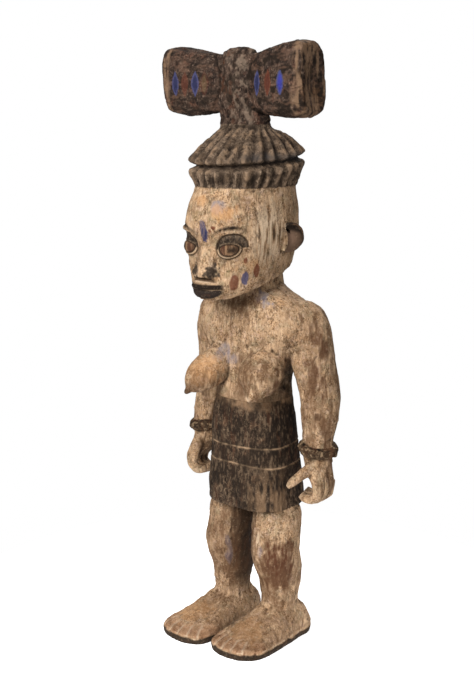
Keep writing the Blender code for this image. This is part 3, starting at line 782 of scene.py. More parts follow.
def weather(skin, hair, axe, wrapper, smooth):
    """Lumps, cracks along the grain and worm-eaten pits."""
    p = skin.p
    body = 1 - smooth
    skin.push(body * (0.55 * noise(p, 34, 11) + 0.22 * noise(p, 9, 12)))
    grain = noise(skin.p, (2.6, 2.6, 26), 21)
    grain_across = noise(skin.p, (26, 2.6, 2.6), 22)
    rough = 0.16 + 0.26 * wrapper + 0.18 * hair + 0.20 * axe
    skin.push((1 - 0.7 * smooth) * rough * np.where(axe > 0.5, 0.5 * grain + 0.5 * grain_across, grain))
    pits = skin.patches((3.2, 3.2, 6.5), 31, 0.42, 0.75)
    skin.push(-(0.35 + 0.45 * wrapper + 0.4 * axe + 0.3 * hair) * pits * (1 - 0.8 * smooth))
    upright = 1 - np.abs(skin.normals()[:, 2])
    crack = bump(noise(skin.p, (11, 11, 60), 41), 0.035) * skin.patches((24, 24, 34), 42, 0.25, 0.5)
    crack *= step(upright, 0.5, 0.8) * (1 - smooth)
    skin.push(-0.8 * crack)
    x, y, z = skin.p.T
    skin.push(on_bracelet(x, y, z) * noise(skin.p, 4.2, 43))
    strap = (np.abs(x) < 24) & (z > 676) & (y < AXE_Y)
    skin.push(strap * 1.1 * noise(skin.p, (7, 7, 5), 44))
    top = step(z, 744, 752) * (np.abs(x) < 26)
    skin.push(top * 1.1 * noise(skin.p, (9, 12, 9), 46))
    skin.push(-1.3 * strap_edge(x, y, z))
    return crack, pits


def relief_of(skin):
    """Fine and broad hollowness of the surface: above 0 in hollows, below 0 on edges."""
    normal = skin.normals()
    smooth = skin.p
    results = []
    for rounds in (4, 46):
        for _ in range(rounds):
            smooth = smooth + (skin.average(smooth) - smooth) * 0.8
        results.append(((smooth - skin.p) * normal).sum(axis=1))
    return results


def soften_joins(skin):
    """Round off the joins that run smoothly from one part into the next."""
    x, y, z = skin.p.T
    shoulder = bump(np.abs(x) - 66, 16) * step(z, 366, 395) * step(-z, -462, -445)
    breast = bump(np.hypot(np.abs(x) - 36, (z - 388) / 1.1), 34) * step(-y, 36, 42) * step(z, 368, 380)
    waist = bump(z - WRAPPER_TOP_Z, 8) * (np.abs(x) < 66) * (y > -58)
    stem = bump(z - 669, 7)
    nape = bump(z - 466, 16) * (np.abs(x) < 50)
    ankle = bump(z - 47, 8) * (y > -45)
    left_bust = bump(np.hypot(x - 42, z - 360), 36) * step(-y, 28, 36) * 0.7
    mask = np.clip(shoulder + breast + waist + stem + nape + ankle + left_bust, 0, 1)
    skin.relax(45, 0.7, mask)


def carve(skin):
    """Cut the features into the blank and paint them; returns the paint and packed relief."""
    skin.relax(3)
    soften_joins(skin)
    x, y, z = skin.p.T
    paint = Paint(len(x))
    head = (z > 452) & (z < HAIRLINE_Z + 2) & (np.abs(x) < 62) & (y < 60)
    face = head & (y < -40)
    u = face_angle(x, y)
    hair = ((z > HAIRLINE_Z) & (z < STEM_BASE_Z)).astype(float)
    axe = (z >= STEM_BASE_Z).astype(float)
    trunk = (np.abs(x) < 66) & (y < 56)
    wrapper = ((z > HEM_Z - 4) & (z < WRAPPER_TOP_Z) & trunk).astype(float)
    eye = bump(np.hypot((np.abs(u) - 35.5) / 26, (z - 524) / 26), 1.0) ** 0.5 * face
    mouth = bump(np.hypot(x / 34, (z - 482) / 26), 1.0) ** 0.5 * face
    smooth = np.clip(np.maximum(eye, mouth), 0, 1)
    bust = bump(np.hypot(np.abs(x) - 40, z - 356), 40) ** 0.5 * (y < -48)
    plain = (1 - smooth) * (1 - hair) * (z > 12) * (1 - 0.75 * bust)
    cut_facets(skin, (13, 13, 19), 0.75, 51, plain * (1 - wrapper) * (1 - axe))
    cut_facets(skin, (11, 11, 44), 0.85, 52, wrapper)
    cut_facets(skin, (17, 17, 15), 0.8, 53, axe)
    crack, pits = weather(skin, hair, axe, wrapper, smooth)
    skin.relax(1, 0.6)
    x, y, z = skin.p.T
    u = face_angle(x, y)
    carve_nose_and_mouth(skin, paint, x, z, face)
    carve_eyes(skin, paint, z, u, face)
    skin.push(-1.1 * scored_lines(skin, 1.8) * wrapper)
    toes = (z < 30) & (x > 0)
    carve_toes(skin, paint, (36, -22), (-30, -20, -10, 1, 13), toes)
    toes = (z < 30) & (x < 0)
    carve_toes(skin, paint, (-45, -26), (-26, -14, -3, 8, 19), toes)
    for side in (1, -1):
        carve_fingers(skin, side)
    skin.relax(1, 0.35)
    fine, broad = relief_of(skin)
    paint_body(skin, paint)
    paint_wrapper(skin, paint, wrapper)
    paint_hair(skin, paint, hair, broad)
    paint_axe(skin, paint)
    paint_marks(skin, paint)
    return paint, pack_values(0.5 + fine / 1.2, 0.5 + broad / 5.0, crack, pits)


# ---- paint and dirt

FACE_MARKS = [
    (OXIDE_RED, (34, -86, 483), 6.5, 12.5),
    (ULTRAMARINE, (41.5, -75, 487.5), 5.5, 11.0),
    (OXIDE_RED, (47.5, -60.5, 496.5), 5.5, 10.0),
    (OXIDE_RED, (44.4, -77.5, 510), 2.8, 4.5),
    (OXIDE_RED, (10, -103, 545), 2.5, 3.0),
    (OXIDE_RED, (16, -104, 549), 4.0, 2.5),
]

# Stains, plus painted shade and shadow on the neck and chest, marked on the rows below.
STAINS_AND_SHADOWS = [
    (DUSTY_BLUE, (33.5, -32, 460), 7, 9, 0.8), (DUSTY_BLUE, (43, -33, 452), 9, 6, 0.8),
    (DUSTY_BLUE, (21, -98, 574), 11, 10, 0.75), (DUSTY_BLUE, (-15, -50, 388), 13, 12, 0.6),
    (DUSTY_BLUE, (-6, -45, 377), 10, 9, 0.6), (PALE_CLAY, (-28, -46, 396), 6, 3, 0.8),
    # Below: both are the painted shadow of the head and jaw on the front of the neck.
    (WALNUT, (2, -41, 448), 22, 12, 0.85), (WALNUT, (22, -39, 455), 15, 10, 0.75),
    (BRICK, (98, -3, 414), 9, 17, 0.75), (BRICK, (103, 6, 396), 9, 17, 0.75),
    (BRICK, (95, -8, 362), 12, 22, 0.8), (BRICK, (103, 3, 348), 9, 16, 0.7),
    (WALNUT, (84, -14, 352), 12, 18, 0.5), (NEAR_BLACK, (101, -4, 311), 6, 5, 0.85),
    (WALNUT, (96, -8, 322), 20, 40, 0.7), (WALNUT, (92, -4, 400), 20, 44, 0.45),
    (NEAR_BLACK, (-86, -7, 311), 6, 5, 0.7), (WALNUT, (-78, -20, 392), 12, 20, 0.6),
    (WALNUT, (-88, -6, 330), 14, 34, 0.45), (WALNUT, (-66, -20, 432), 14, 12, 0.4),
    # Below: the second is painted shade between the breasts.
    (WALNUT, (42, -60, 360), 29, 32, 0.85), (WALNUT, (15, -48, 354), 12, 32, 0.6),
    # Below: both are painted shade, under the left breast and on its outer side.
    (WALNUT, (34, -56, 337), 14, 8, 0.6), (BRICK, (60, -46, 350), 10, 26, 0.5),
    # Below: the second is painted shade under the right breast.
    (AMBER, (-30, -72, 366), 24, 20, 0.5), (WALNUT, (-38, -78, 346), 24, 18, 0.7),
    # Below: the first is painted shade between the breasts.
    (WALNUT, (10, -45, 350), 18, 22, 0.5), (DUSTY_BLUE, (-21, -34, 126), 4, 10, 0.6),
    (DUSTY_BLUE, (-22, -31, 100), 5, 15, 0.6), (ULTRAMARINE, (-22, -31, 101), 4, 8, 0.35),
    (PALE_CLAY, (33, -37, 142), 3.5, 11, 0.75), (DUSTY_BLUE, (40, -41, 128), 4.5, 9, 0.6),
    (WALNUT, (-40, -32, 110), 28, 66, 0.6), (WALNUT, (58, -28, 108), 26, 42, 0.9),
    (BRICK, (62, -28, 118), 21, 27, 0.95), (BRICK, (57, -28, 92), 18, 24, 1.0),
    (WALNUT, (46, -26, 78), 26, 36, 0.6), (AMBER, (-55, -62, 26), 26, 13, 0.5),
    (AMBER, (36, -66, 27), 24, 12, 0.45), (WALNUT, (62, -20, 34), 24, 26, 0.5),
    (WALNUT, (42, -52, 26), 44, 20, 0.45), (WALNUT, (-36, -50, 30), 34, 24, 0.5),
    (OLIVE, (30, -91, 493), 5, 7, 0.7), (OLIVE, (-8, -100, 562), 12, 8, 0.5),
    (OLIVE, (13, -104, 560), 9, 7, 0.4), (AMBER, (27, -96, 566), 16, 11, 0.55),
    (AMBER, (-6, -102, 580), 13, 8, 0.5), (AMBER, (44, -70, 500), 16, 10, 0.35),
    (WALNUT, (40, -78, 578), 9, 8, 0.35),
]


def paint_stains_and_shadows(skin, paint, stain_and_shadow_rows):
    """Ragged patches of stain and painted shadow round given places, broken along the grain: radius level,
    upright, strength.
    """
    ragged = 0.45 * noise(skin.p, (4, 4, 11), 81) + 0.30 * noise(skin.p, 12.0, 82)
    broken = 0.6 + 0.4 * skin.patches((2.4, 2.4, 8), 84, -0.4, 0.2)
    for colour, place, radius, height, strength in stain_and_shadow_rows:
        offset = (skin.p - place) / (radius, radius, height)
        reach = np.linalg.norm(offset, axis=1)
        paint.lay(colour, strength * broken * step(1.15 - reach + ragged, 0.0, 0.6) * (reach < 1.9))


def paint_marks(skin, paint):
    """Lozenges on the face and on the blades of the axe."""
    x, y, z = skin.p.T
    ragged = 0.10 * noise(skin.p, 2.5, 83)
    front = (z > 470) & (z < HAIRLINE_Z) & (y < -40)
    for colour, place, radius, height in FACE_MARKS:
        offset = (skin.p - place) / (radius, radius, height)
        reach = np.linalg.norm(offset, axis=1) + ragged
        paint.lay(colour, front * step(1.0 - reach, 0.0, 0.25) * 0.85)
    reach = (np.abs(x - 0.6 + 0.1 * (z - 545)) / 5.8) ** 1.8 + (np.abs(z - 545) / 14.5) ** 2 + 2 * ragged
    streaky = 0.75 + 0.35 * noise(skin.p, (2.4, 2.4, 9), 74)
    paint.lay(shade(70, 68, 92), front * step(1.0 - reach, 0.0, 0.25) * streaky)
    paint.lay(DEEP_BLUE, front * step(1.0 - reach, 0.1, 0.4) * step(-z, -551, -541) * 0.85 * streaky)
    blades = (z > 690) & (y < AXE_Y - 6)
    marks = [
        (39.5, DEEP_BLUE, ULTRAMARINE, 0.9), (59, DARK_RED, OXIDE_RED, 0.7),
        (79, BRIGHT_BLUE, ULTRAMARINE, 0.95), (-42, OLIVE, OXIDE_RED, 0.2),
        (-54.5, DEEP_BLUE, ULTRAMARINE, 0.85), (-69.5, DARK_RED, OXIDE_RED, 0.4),
        (-84, DEEP_BLUE, ULTRAMARINE, 0.8),
    ]
    for centre, middle, outline, strength in marks:
        high = np.abs(z - 716.5) / 15.5
        reach = (np.abs(x - centre) / 5.8) ** 1.2 + high**1.7 + ragged
        paint.lay(outline, blades * step(1.0 - reach, 0.0, 0.15) * strength)
        paint.lay(middle, blades * step(1.0 - reach, 0.40, 0.52) * strength)


def paint_axe(skin, paint):
    """Paler strap, sooty blades, painted shadow in the creases where the blades meet the strap, rusty
    streaks down the ends of the blades.
    """
    x, y, z = skin.p.T
    axe = z > STEM_BASE_Z
    strap = axe * step(26 - np.abs(x - 0.04 * (719 - z)), 0, 5) * (y < AXE_Y + 4)
    blotch = skin.patches((5, 5, 9), 101, -0.1, 0.5)
    on_strap = paint.within(strap)
    on_strap(shade(128, 110, 94), blotch * step(x, -20, 4) * 0.5)
    on_strap(NEAR_BLACK, skin.patches((5, 5, 7), 108, 0.1, 0.5) * 0.8)
    # Painted shadow along the creases where the blades bulge out over the front of the strap.
    paint.lay(NEAR_BLACK, strap_edge(x, y, z) ** 0.5 * 0.7)
    on_strap(BRICK, skin.patches((6, 6, 9), 106, 0.1, 0.5) * step(-x, -6, 8) * 0.5)
    blade = axe * step(np.abs(x), 22, 28) * step(z, 676, 684)
    on_blade = paint.within(blade)
    on_blade(NEAR_BLACK, skin.patches((8, 8, 5), 102, -0.15, 0.45) * np.where(x > 0, 0.95, 0.65))
    on_blade(shade(104, 78, 63), skin.patches((13, 8, 5), 103, 0.15, 0.6) * 0.4)
    on_blade(shade(26, 20, 16), skin.patches((4, 4, 3), 109, 0.2, 0.6) * 0.6)
    ends = axe * step(np.abs(x), 92, 99)
    streak = noise(skin.p, (5, 4, 22), 104)
    paint.lay(shade(134, 106, 82), ends * step(streak, -0.3, 0.4) * 0.62)
    paint.lay(NEAR_BLACK, ends * step(-streak, 0.3, 0.7) * 0.3)
    bevel = axe * bump(np.abs(x) - 99, 4) * skin.patches(7, 107, -0.1, 0.5)
    paint.lay(shade(132, 104, 82), bevel * 0.4)
    crack = bump(noise(skin.p, (22, 22, 12), 105), 0.05) * axe
    paint.lay(shade(24, 18, 14), crack * 0.7)


def paint_hair(skin, paint, hair, broad):
    """Paler worn ridges, grooves darkened with dirt and painted shade, and a blue-black rim on the
    coiffure.
    """
    worn = skin.patches((8, 8, 12), 112, -0.35, 0.3)
    upper = step(skin.p[:, 2], TIER_NOTCH_Z - 4, TIER_NOTCH_Z + 4)
    lay = paint.within(hair)
    lay(shade(146, 118, 92), step(-broad, 0.15, 0.9) * worn * (0.3 + 0.25 * upper))
    # Darker in the broad hollows between the pleats: dirt and painted shade.
    lay(NEAR_BLACK, step(broad, 0.2, 1.1) * (0.15 + 0.45 * upper))
    lay(NEAR_BLACK, skin.patches((9, 9, 8), 111, -0.1, 0.5) * 0.6)
    rim = bump(skin.p[:, 2] - 630, 9) * step(np.abs(skin.p[:, 0]), 30, 50)
    lay(shade(48, 46, 46), rim * 0.75)


def paint_wrapper(skin, paint, mask):
    """Pale scored lines, skin paint that runs a little below the wrapper's top, and painted shade on the
    skin just above it.
    """
    x, y, z = skin.p.T
    faded = 0.7 + 0.3 * skin.patches(9.0, 91, -0.5, 0.1)
    lay = paint.within(mask)
    lay(shade(172, 142, 112), scored_lines(skin, 1.7) * 0.95 * faded)
    ragged = 4.0 * noise(skin.p, (6, 6, 12), 92) + 3.0 * noise(skin.p, 3.0, 93)
    girdle = (np.abs(x) < 66) * (np.abs(z - WRAPPER_TOP_Z) < 22) * (y > -56)
    paint.lay(shade(140, 111, 84), girdle * mask * step(z + ragged, 312, 326) * 0.75)
    # Painted shade in a band on the skin just above the wrapper's top, all round the waist.
    paint.lay(shade(110, 86, 64), girdle * (1 - mask) * step(-z - ragged, -340, -324) * 0.6)
    lay(NEAR_BLACK, skin.patches((9, 9, 16), 96, -0.5, 0.5) * 0.8)
    lay(shade(130, 108, 86), skin.patches((2.2, 2.2, 7), 97, 0.25, 0.7) * 0.3)
    corner = step(x, 12, 50) * step(-z, -262, -196) * step(-y, 4, 26)
    lay(shade(142, 112, 84), corner * skin.patches((4, 4, 14), 94, -0.4, 0.5) * 0.45)


def paint_body(skin, paint):
    """Painted shade under the arms, between the legs, under the hem and on the arms' outer sides; dark
    soles, dark ears.
    """
    x, y, z = skin.p.T
    normal = skin.normals()
    ragged = 0.8 + 0.35 * noise(skin.p, 7.0, 85)
    # Painted shade on the sides of the torso and wrapper under the arms, where the arms hide them from the
    # light.
    flank = (np.abs(x) < 68) * step(y, -44, -32) * step(z, 200, 215) * step(-z, -392, -360)
    outward = normal[:, 0] * np.sign(x)
    paint.lay(NEAR_BLACK, flank * step(outward, 0.55, 0.85) * 0.85 * ragged)
    # Painted shade on the inner sides of the arms, where they face the torso.
    inner_arm = (np.abs(x) >= 58) * step(z, 215, 235) * step(-z, -385, -350)
    paint.lay(WALNUT, inner_arm * step(-outward, 0.45, 0.85) * 0.8 * ragged)
    # Painted shade on the inner sides of the legs, where they face each other.
    between_legs = (z < HEM_Z) * step(z, 40, 75) * step(-np.abs(x), -50, -30)
    paint.lay(NEAR_BLACK, between_legs * step(-outward, 0.30, 0.85) * 0.97)
    paint.lay(WALNUT, between_legs * step(-outward, 0.0, 0.4) * 0.45 * ragged)
    # Painted shade on the fronts of the upper legs, under the hem of the wrapper.
    legs = (z < HEM_Z - 2) * (z > 60)
    paint.lay(NEAR_BLACK, legs * step(z, 160, HEM_Z) * 0.45 * step(-normal[:, 1], -0.2, 0.4) * ragged)
    paint.lay(NEAR_BLACK, step(-z + 1.5 * noise(skin.p, 9, 99), -9.6, -7.8) * 0.95)
    worn_edge = skin.patches(9, 86, -0.2, 0.3)
    paint.lay(PALE_CLAY, bump(z - 10.2, 1.3) * (y < 20) * worn_edge * np.where(x > 0, 0.5, 0.25))
    paint.lay(WALNUT, bump(z - 14.5, 4.0) * 0.45 * ragged)
    hollow_side = step(EAR_FORWARD[0] * outward + EAR_FORWARD[1] * normal[:, 1], -0.5, 0.1)
    ear = (np.abs(x) > 57) * (z > 505) * (z < 560) * (y > -30) * hollow_side
    across = ((np.abs(x) - EAR[0]) * EAR_OUTWARD[0] + (y - EAR[1]) * EAR_OUTWARD[1]) / EAR_HALF_WIDTH
    spread = np.hypot(across, (z - EAR[2]) / EAR_HALF_HEIGHT)
    paint.lay(shade(70, 54, 42), ear * step(1.2 - spread, 0, 0.15))
    paint.lay(shade(112, 88, 72), ear * bump(spread, 0.7) * 0.6)
    free_rim = step(across, -0.45, -0.05)
    paint.lay(NEAR_BLACK, ear * free_rim * step(spread, 0.66, 0.9) * step(z, 514, 534) * 0.95)
    paint.lay(NEAR_BLACK, ear * step(z + 4 * across, 539, 544))
    nipple = np.linalg.norm(skin.p - (-38.5, -94.5, 338), axis=1)
    paint.lay(NEAR_BLACK, bump(nipple, 7.5) ** 0.5 * 0.9)
    nipple = np.linalg.norm(skin.p - (43, -73.5, 336), axis=1)
    paint.lay(PALE_CLAY, bump(nipple, 7.0) ** 0.5 * 0.45)
    low_leg = (z > 48) * step(-z, -118, -80) * (y < 20)
    paint.lay(WALNUT, low_leg * step(z, 48, 62) * skin.patches((6, 6, 16), 87, -0.4, 0.6) * 0.55)
    # Painted shade on the outer sides of the arms, broken into patches.
    outer = (np.abs(x) > 66) * (z > 200) * step(outward, 0.1, 0.9)
    worn = skin.patches((8, 8, 24), 89, -0.1, 0.5)
    paint.lay(WALNUT, outer * worn * 0.75)
    streak = skin.patches((3, 3, 26), 90, 0.0, 0.5)
    paint.lay(BRICK, (z < 470) * streak * skin.patches((24, 24, 40), 98, -0.1, 0.4) * 0.4)
    paint.lay(shade(150, 126, 98), on_bracelet(x, y, z) * skin.patches(3.4, 88, 0.25, 0.6) * 0.6)
    paint_temple(skin, paint)
    paint_stains_and_shadows(skin, paint, STAINS_AND_SHADOWS)


def paint_temple(skin, paint):
    """Upright cracks with lifted paint on the left temple, fainter ones on the right."""
    x, y, z = skin.p.T
    temple = bump(np.hypot((y + 45) / 30, (z - 540) / 42), 1.0) ** 0.5 * (np.abs(x) > 38)
    temple = temple * np.where(x > 0, 1.0, 0.5) * (z > 480) * (z < HAIRLINE_Z)
    streak = noise(skin.p, (3.0, 3.0, 22), 95)
    lay = paint.within(temple)
    lay(PALE_CLAY, step(streak, -0.25, 0.25) * 0.85)
    lay(WALNUT, step(-streak, 0.2, 0.5) * 0.65)
    lay(NEAR_BLACK, step(-streak, 0.45, 0.7) * 0.85)


# ---- pieces for the frame's nodes

NAMES = [name for name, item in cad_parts.items() if item.type == "MESH"]


def node_labels(skin):
    """Which node each quad belongs to: the nearest one, with ragged borders smoothed."""
    points = []
    polygons = []
    owner = []
    for number, name in enumerate(NAMES):
        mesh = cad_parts[name].data
        base = len(points)
        points.extend(vertex.co for vertex in mesh.vertices)
        for polygon in mesh.polygons:
            polygons.append([base + i for i in polygon.vertices])
            owner.append(number)
    tree = BVHTree.FromPolygons(points, polygons)
    centres = (skin.p[skin.quads].mean(axis=1) + AXIS) * MM
    label = np.array([owner[tree.find_nearest(Vector(c))[2]] for c in centres])
    kinds = len(NAMES)
    for _ in range(8):
        votes = np.zeros(len(skin.p) * kinds)
        for k in range(4):
            votes += np.bincount(skin.quads[:, k] * kinds + label, minlength=len(votes))
        votes = votes.reshape(-1, kinds)
        label = votes[skin.quads].sum(axis=1).argmax(axis=1)
    return label


def open_loops(quads):
    """Loops of points along the open borders of one piece."""
    start = quads.ravel()
    end = quads[:, [1, 2, 3, 0]].ravel()
    size = int(quads.max()) + 1
    forward = start.astype(np.int64) * size + end
    backward = end.astype(np.int64) * size + start
    open_edges = ~np.isin(forward, backward)
    follow = {}
    for a, b in zip(start[open_edges].tolist(), end[open_edges].tolist()):
        follow.setdefault(a, []).append(b)
    loops = []
    while follow:
        first = next(iter(follow))
        at = first
        loop = []
        while not loop or at != first:
            loop.append(at)
            choices = follow[at]
            following = choices.pop()
            if not choices:
                del follow[at]
            at = following
        loops.append(loop)
    return loops


def make_pieces(skin, attributes, materials):
    """One closed object for each node, cut out of the skin."""
    label = node_labels(skin)
    normal = skin.normals()
    for number, name in enumerate(NAMES):
        quads = skin.quads[label == number]
        loops = open_loops(quads)
        used, quads = np.unique(quads, return_inverse=True)
        quads = quads.reshape(-1, 4)
        place = {int(old): new for new, old in enumerate(used)}
        points = (skin.p[used] + AXIS) * MM
        normals = normal[used]
        faces = quads.tolist()
        extra_points = []
        for loop in loops:
            ring = [place[i] for i in loop]
            centre = len(used) + len(extra_points)
            extra_points.append(points[ring].mean(axis=0))
            for a, b in zip(ring, ring[1:] + ring[:1]):
                faces.append((b, a, centre))
        if extra_points:
            points = np.concatenate([points, np.array(extra_points)])
            normals = np.concatenate([normals, np.tile((0.0, 0.0, 1.0), (len(extra_points), 1))])
        mesh = new_mesh(name + ".carved", points, faces)
        mesh.shade_smooth()
        mesh.normals_split_custom_set_from_vertices(normals.tolist())
        for key, values in attributes.items():
            filled = np.concatenate([values[used], np.zeros((len(extra_points), 4))])
            attribute = mesh.attributes.new(key, "FLOAT_COLOR", "POINT")
            attribute.data.foreach_set("color", filled.ravel())
        slot = slot_of(name)
        mesh.materials.append(materials[slot])
        item = new_object(name + ".carved", mesh)
        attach(item, "root")
        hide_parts(name)


def slot_of(name):
    """Material slot of a node, from the word in its name."""
    for word, slot in (("wrapper", "wrapper_wood"), ("tier", "coiffure_wood"),
                       ("axe", "axe_wood"), ("bracelet", "bracelet_wood")):
        if word in name:
            return slot
    return "ochre_wood"


# ---- materials

class Shader:
    """Small helper that adds and joins the nodes of one material."""

    def __init__(self, name):
        self.material = bpy.data.materials.new(name)
        self.material.use_nodes = True
        self.tree = self.material.node_tree
        self.surface = self.tree.nodes["Principled BSDF"]

    def add(self, kind, inputs=(), **values):
        """New node with the given settings and (name, value) inputs."""
        node = self.tree.nodes.new("ShaderNode" + kind)
        for key, value in values.items():
            setattr(node, key, value)
        for key, value in inputs:
            node.inputs[key].default_value = value
        return node

    def join(self, source, target):
        self.tree.links.new(source, target)

    def value(self, operation, a, b=0.0, clamp=False):
        """Arithmetic on sockets or numbers."""
        node = self.add("Math", operation=operation, use_clamp=clamp)
        for socket, item in zip(node.inputs, (a, b)):
            if isinstance(item, (int, float)):
                socket.default_value = item
            else:
                self.join(item, socket)
        return node.outputs[0]

    def noise(self, size, detail=4.0, roughness=0.6, stretch=(1, 1, 1)):
        """Noise with features of the given size in millimetres."""
        place = self.add("TexCoord").outputs["Object"]
        scale = self.add("Mapping", [("Scale", [1 / (size * MM * s) for s in stretch])])
        self.join(place, scale.inputs["Vector"])
        node = self.add("TexNoise", [("Scale", 1.0), ("Detail", detail), ("Roughness", roughness)])
        self.join(scale.outputs[0], node.inputs["Vector"])
        return node.outputs["Fac"]

    def ramp(self, source, low, high):
        """Straight slope from 0 at low to 1 at high, kept within 0 and 1."""
        node = self.add("MapRange", [("From Min", low), ("From Max", high)])
        self.join(source, node.inputs["Value"])
        return node.outputs[0]

    def mix(self, amount, a, b):
        """Blend of two colours (sockets or linear colours) by an amount from a socket."""
        node = self.add("Mix", data_type="RGBA")
        self.join(amount, node.inputs[0])
        for socket, item in zip((node.inputs[6], node.inputs[7]), (a, b)):
            if isinstance(item, np.ndarray):
                socket.default_value = (*item.tolist(), 1.0)
            else:
                self.join(item, socket)
        return node.outputs[2]


def carved_wood(name, light, middle, dark, pale, tints, stretch, wear, hollow_dirt_and_shade):
    """Old painted wood: cloudy paint, grain, dirt and painted shade in the hollows, rubbed edges."""
    s = Shader(name)
    relief = s.add("Attribute", attribute_name="relief")
    channels = s.add("SeparateColor")
    s.join(relief.outputs["Color"], channels.inputs[0])
    fine, broad, crack = channels.outputs[0], channels.outputs[1], channels.outputs[2]
    paint_and_shade = s.add("Attribute", attribute_name="paint_and_shade")

    clouds = s.ramp(s.noise(18, 5.0, 0.65), 0.40, 0.60)
    fibre = s.noise(1.5, 3.0, 0.65, stretch)
    clusters = s.ramp(s.noise(16, 3.0, 0.6), 0.40, 0.62)
    specks = s.value("MULTIPLY", s.ramp(s.noise(2.0, 3.0, 0.75), 0.52, 0.62), clusters)
    flecks = s.ramp(s.noise(1.7, 3.0, 0.7, (1, 1, 2)), 0.58, 0.66)
    dust = s.ramp(s.noise(4.2, 5.0, 0.75), 0.54, 0.68)

    def over(mask, amount, tint):
        """The colour so far with a tint laid over it."""
        return s.mix(s.value("MULTIPLY", mask, amount), colour, tint)

    colour = s.mix(clouds, middle, light)
    for tint, size, low, amount in tints:
        colour = over(s.ramp(s.noise(size, 5.0, 0.7), low, low + 0.12), amount, tint)
    patches = s.ramp(s.noise(6, 6.0, 0.8, (1, 1, 1.8)), 0.48, 0.60)
    colour = over(s.value("MULTIPLY", patches, s.ramp(s.noise(26, 2.0), 0.40, 0.58)), 0.75, dark)
    colour = over(s.ramp(fibre, 0.46, 0.66), 0.5, dark)
    colour = over(flecks, 0.45, pale)
    colour = over(dust, wear, pale)
    colour = over(specks, 0.8, dark)
    edge = s.value("MULTIPLY", s.ramp(fine, 0.45, 0.20), s.ramp(s.noise(2.4, 3.0), 0.35, 0.62))
    colour = over(edge, wear, pale)
    # Hollows darkened: dirt, and painted shade where shade would fall in them; the cracks get the same
    # dark colour.
    hollows = s.value("MAXIMUM", s.ramp(fine, 0.55, 0.78), s.ramp(broad, 0.53, 0.75))
    colour = over(s.value("MAXIMUM", hollows, crack), hollow_dirt_and_shade, dark * 0.4)
    rubbed = s.value("SUBTRACT", 1.0, s.value("MULTIPLY", dust, 0.20))
    colour = over(paint_and_shade.outputs["Alpha"], rubbed, paint_and_shade.outputs["Color"])
    colour = over(specks, 0.25, dark * 0.4)
    s.join(colour, s.surface.inputs["Base Color"])

    s.join(s.value("ADD", 0.62, s.value("MULTIPLY", s.noise(5, 3.0), 0.45), clamp=True),
           s.surface.inputs["Roughness"])
    height = s.value("ADD", s.value("MULTIPLY", fibre, 0.6), s.value("MULTIPLY", s.noise(1.0, 3.0), 0.5))
    height = s.value("SUBTRACT", height, s.value("MULTIPLY", specks, 0.7))
    relief_bump = s.add("Bump", [("Strength", 0.7), ("Distance", 0.6 * MM)])
    s.join(height, relief_bump.inputs["Height"])
    s.join(relief_bump.outputs[0], s.surface.inputs["Normal"])
    s.surface.inputs["Specular IOR Level"].default_value = 0.10
    return s.material


def make_materials():
    """The five woods: light, middle, dark and pale colours, tints, grain, wear, and the darkening of the
    hollows with dirt and painted shade.
    """
    upright = (1, 1, 9)
    across = (7, 1, 1)
    skin_tints = [(shade(178, 136, 96), 16, 0.50, 0.5), (shade(140, 126, 98), 13, 0.51, 0.6),
                  (shade(104, 76, 52), 8, 0.54, 0.65), (shade(200, 170, 150), 10, 0.54, 0.45)]
    wrapper_tints = [(shade(112, 80, 58), 12, 0.53, 0.45), (shade(38, 29, 23), 10, 0.47, 0.7)]
    hair_tints = [(shade(58, 48, 42), 9, 0.50, 0.6), (shade(140, 112, 84), 12, 0.54, 0.45)]
    axe_tints = [(shade(40, 32, 29), 13, 0.46, 0.75), (shade(118, 78, 60), 16, 0.52, 0.5)]
    ring_tints = [(shade(90, 66, 46), 5, 0.55, 0.5)]
    woods = {
        "ochre_wood": (shade(190, 157, 123), shade(160, 129, 98), shade(76, 54, 36),
                       shade(210, 184, 156), skin_tints, upright, 0.5, 0.85),
        "wrapper_wood": (shade(80, 64, 50), shade(54, 42, 32), shade(24, 17, 12),
                         shade(146, 122, 98), wrapper_tints, upright, 0.5, 0.9),
        "coiffure_wood": (shade(122, 102, 84), shade(92, 76, 62), shade(38, 28, 21),
                          shade(168, 144, 120), hair_tints, upright, 0.5, 0.75),
        "axe_wood": (shade(78, 61, 51), shade(54, 42, 34), shade(30, 22, 18),
                     shade(146, 122, 104), axe_tints, across, 0.45, 0.9),
        "bracelet_wood": (shade(66, 50, 36), shade(46, 34, 24), shade(26, 19, 13),
                          shade(118, 96, 74), ring_tints, (1, 1, 1), 0.5, 0.8),
    }
    return {slot: carved_wood(slot.replace("_", " "), *row) for slot, row in woods.items()}


# ---- studio

def backdrop():
    """Round pale table top that the figure stands on."""
    reach = 0.46
    edge = [(reach * math.cos(turn), reach * math.sin(turn), 0) for turn in turns(96)]
    floor = new_object("floor", new_mesh("floor", edge, [tuple(range(96))]))
    material = bpy.data.materials.new("pale floor")
    material.use_nodes = True
    surface = material.node_tree.nodes["Principled BSDF"]
    surface.inputs["Base Color"].default_value = (0.9, 0.9, 0.9, 1)
    surface.inputs["Roughness"].default_value = 0.9
    surface.inputs["Emission Color"].default_value = (1, 1, 1, 1)
    surface.inputs["Emission Strength"].default_value = 0.74
    floor.data.materials.append(material)


def softbox(name, place, target, size, power):
    """Square area light that looks at the target."""
    light = bpy.data.lights.new(name, "AREA")
    light.size = size
    light.energy = power
    item = new_object(name, light)
    item.location = place
    item.rotation_euler = (target - place).to_track_quat("-Z", "Y").to_euler()


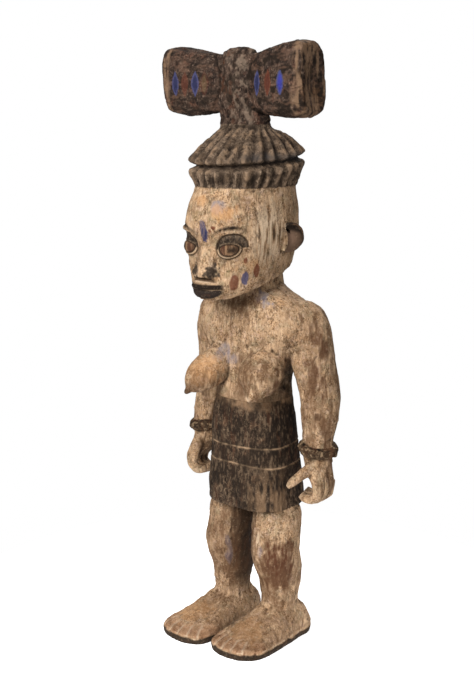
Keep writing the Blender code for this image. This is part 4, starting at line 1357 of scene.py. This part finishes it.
def studio():
    """Camera to her left front, a large soft key light beside it, and a white room."""
    azimuth = math.radians(40)
    ahead = Vector((math.sin(azimuth), -math.cos(azimuth), 0))
    right = Vector((math.cos(azimuth), math.sin(azimuth), 0))
    centre = Vector((AXIS[0] * MM, AXIS[1] * MM, 0))
    camera = bpy.data.cameras.new("camera")
    camera.sensor_width = 36
    camera.lens = 58.42
    item = new_object("camera", camera)
    item.location = centre + ahead * 1.40 - right * 0.026 + Vector((0, 0, 0.69))
    item.rotation_euler = (math.radians(78), 0, azimuth)
    bpy.context.scene.camera = item
    aim = centre + Vector((0, 0, 0.42))
    softbox("key", centre + ahead * 1.5 - right * 0.85 + Vector((0, 0, 1.30)), aim, 0.9, 54)
    softbox("fill", centre + ahead * 1.6 + right * 1.2 + Vector((0, 0, 0.8)), aim, 1.2, 8)
    softbox("back", centre - ahead * 1.7 + right * 0.5 + Vector((0, 0, 1.7)), aim, 1.2, 22)
    white_room()
    bpy.context.scene.view_settings.view_transform = "Standard"


def white_room():
    """Room that looks white behind the figure but gives only a little light of its own."""
    world = bpy.data.worlds.new("white room")
    world.use_nodes = True
    nodes = world.node_tree.nodes
    seen = nodes["Background"]
    seen.inputs["Color"].default_value = (1, 1, 1, 1)
    glow = nodes.new("ShaderNodeBackground")
    glow.inputs["Color"].default_value = (1, 1, 1, 1)
    glow.inputs["Strength"].default_value = 0.22
    path = nodes.new("ShaderNodeLightPath")
    choice = nodes.new("ShaderNodeMixShader")
    join = world.node_tree.links.new
    join(path.outputs["Is Camera Ray"], choice.inputs[0])
    join(glow.outputs[0], choice.inputs[1])
    join(seen.outputs[0], choice.inputs[2])
    join(choice.outputs[0], nodes["World Output"].inputs["Surface"])
    bpy.context.scene.world = world


# ---- the whole scene

def pack_values(*columns):
    """Four channels for one colour attribute, each moved into 0 to 1."""
    return np.clip(np.stack(columns, axis=1), 0, 1)


def build():
    skin = Skin(*fused([carve_blank(), bracelets()]))
    paint, relief = carve(skin)
    skin.p[:, 2] = np.maximum(skin.p[:, 2], 0.0)
    attributes = {
        "relief": relief,
        "paint_and_shade": np.column_stack([paint.colour, paint.cover]),
    }
    make_pieces(skin, attributes, make_materials())
    backdrop()
    studio()


build()
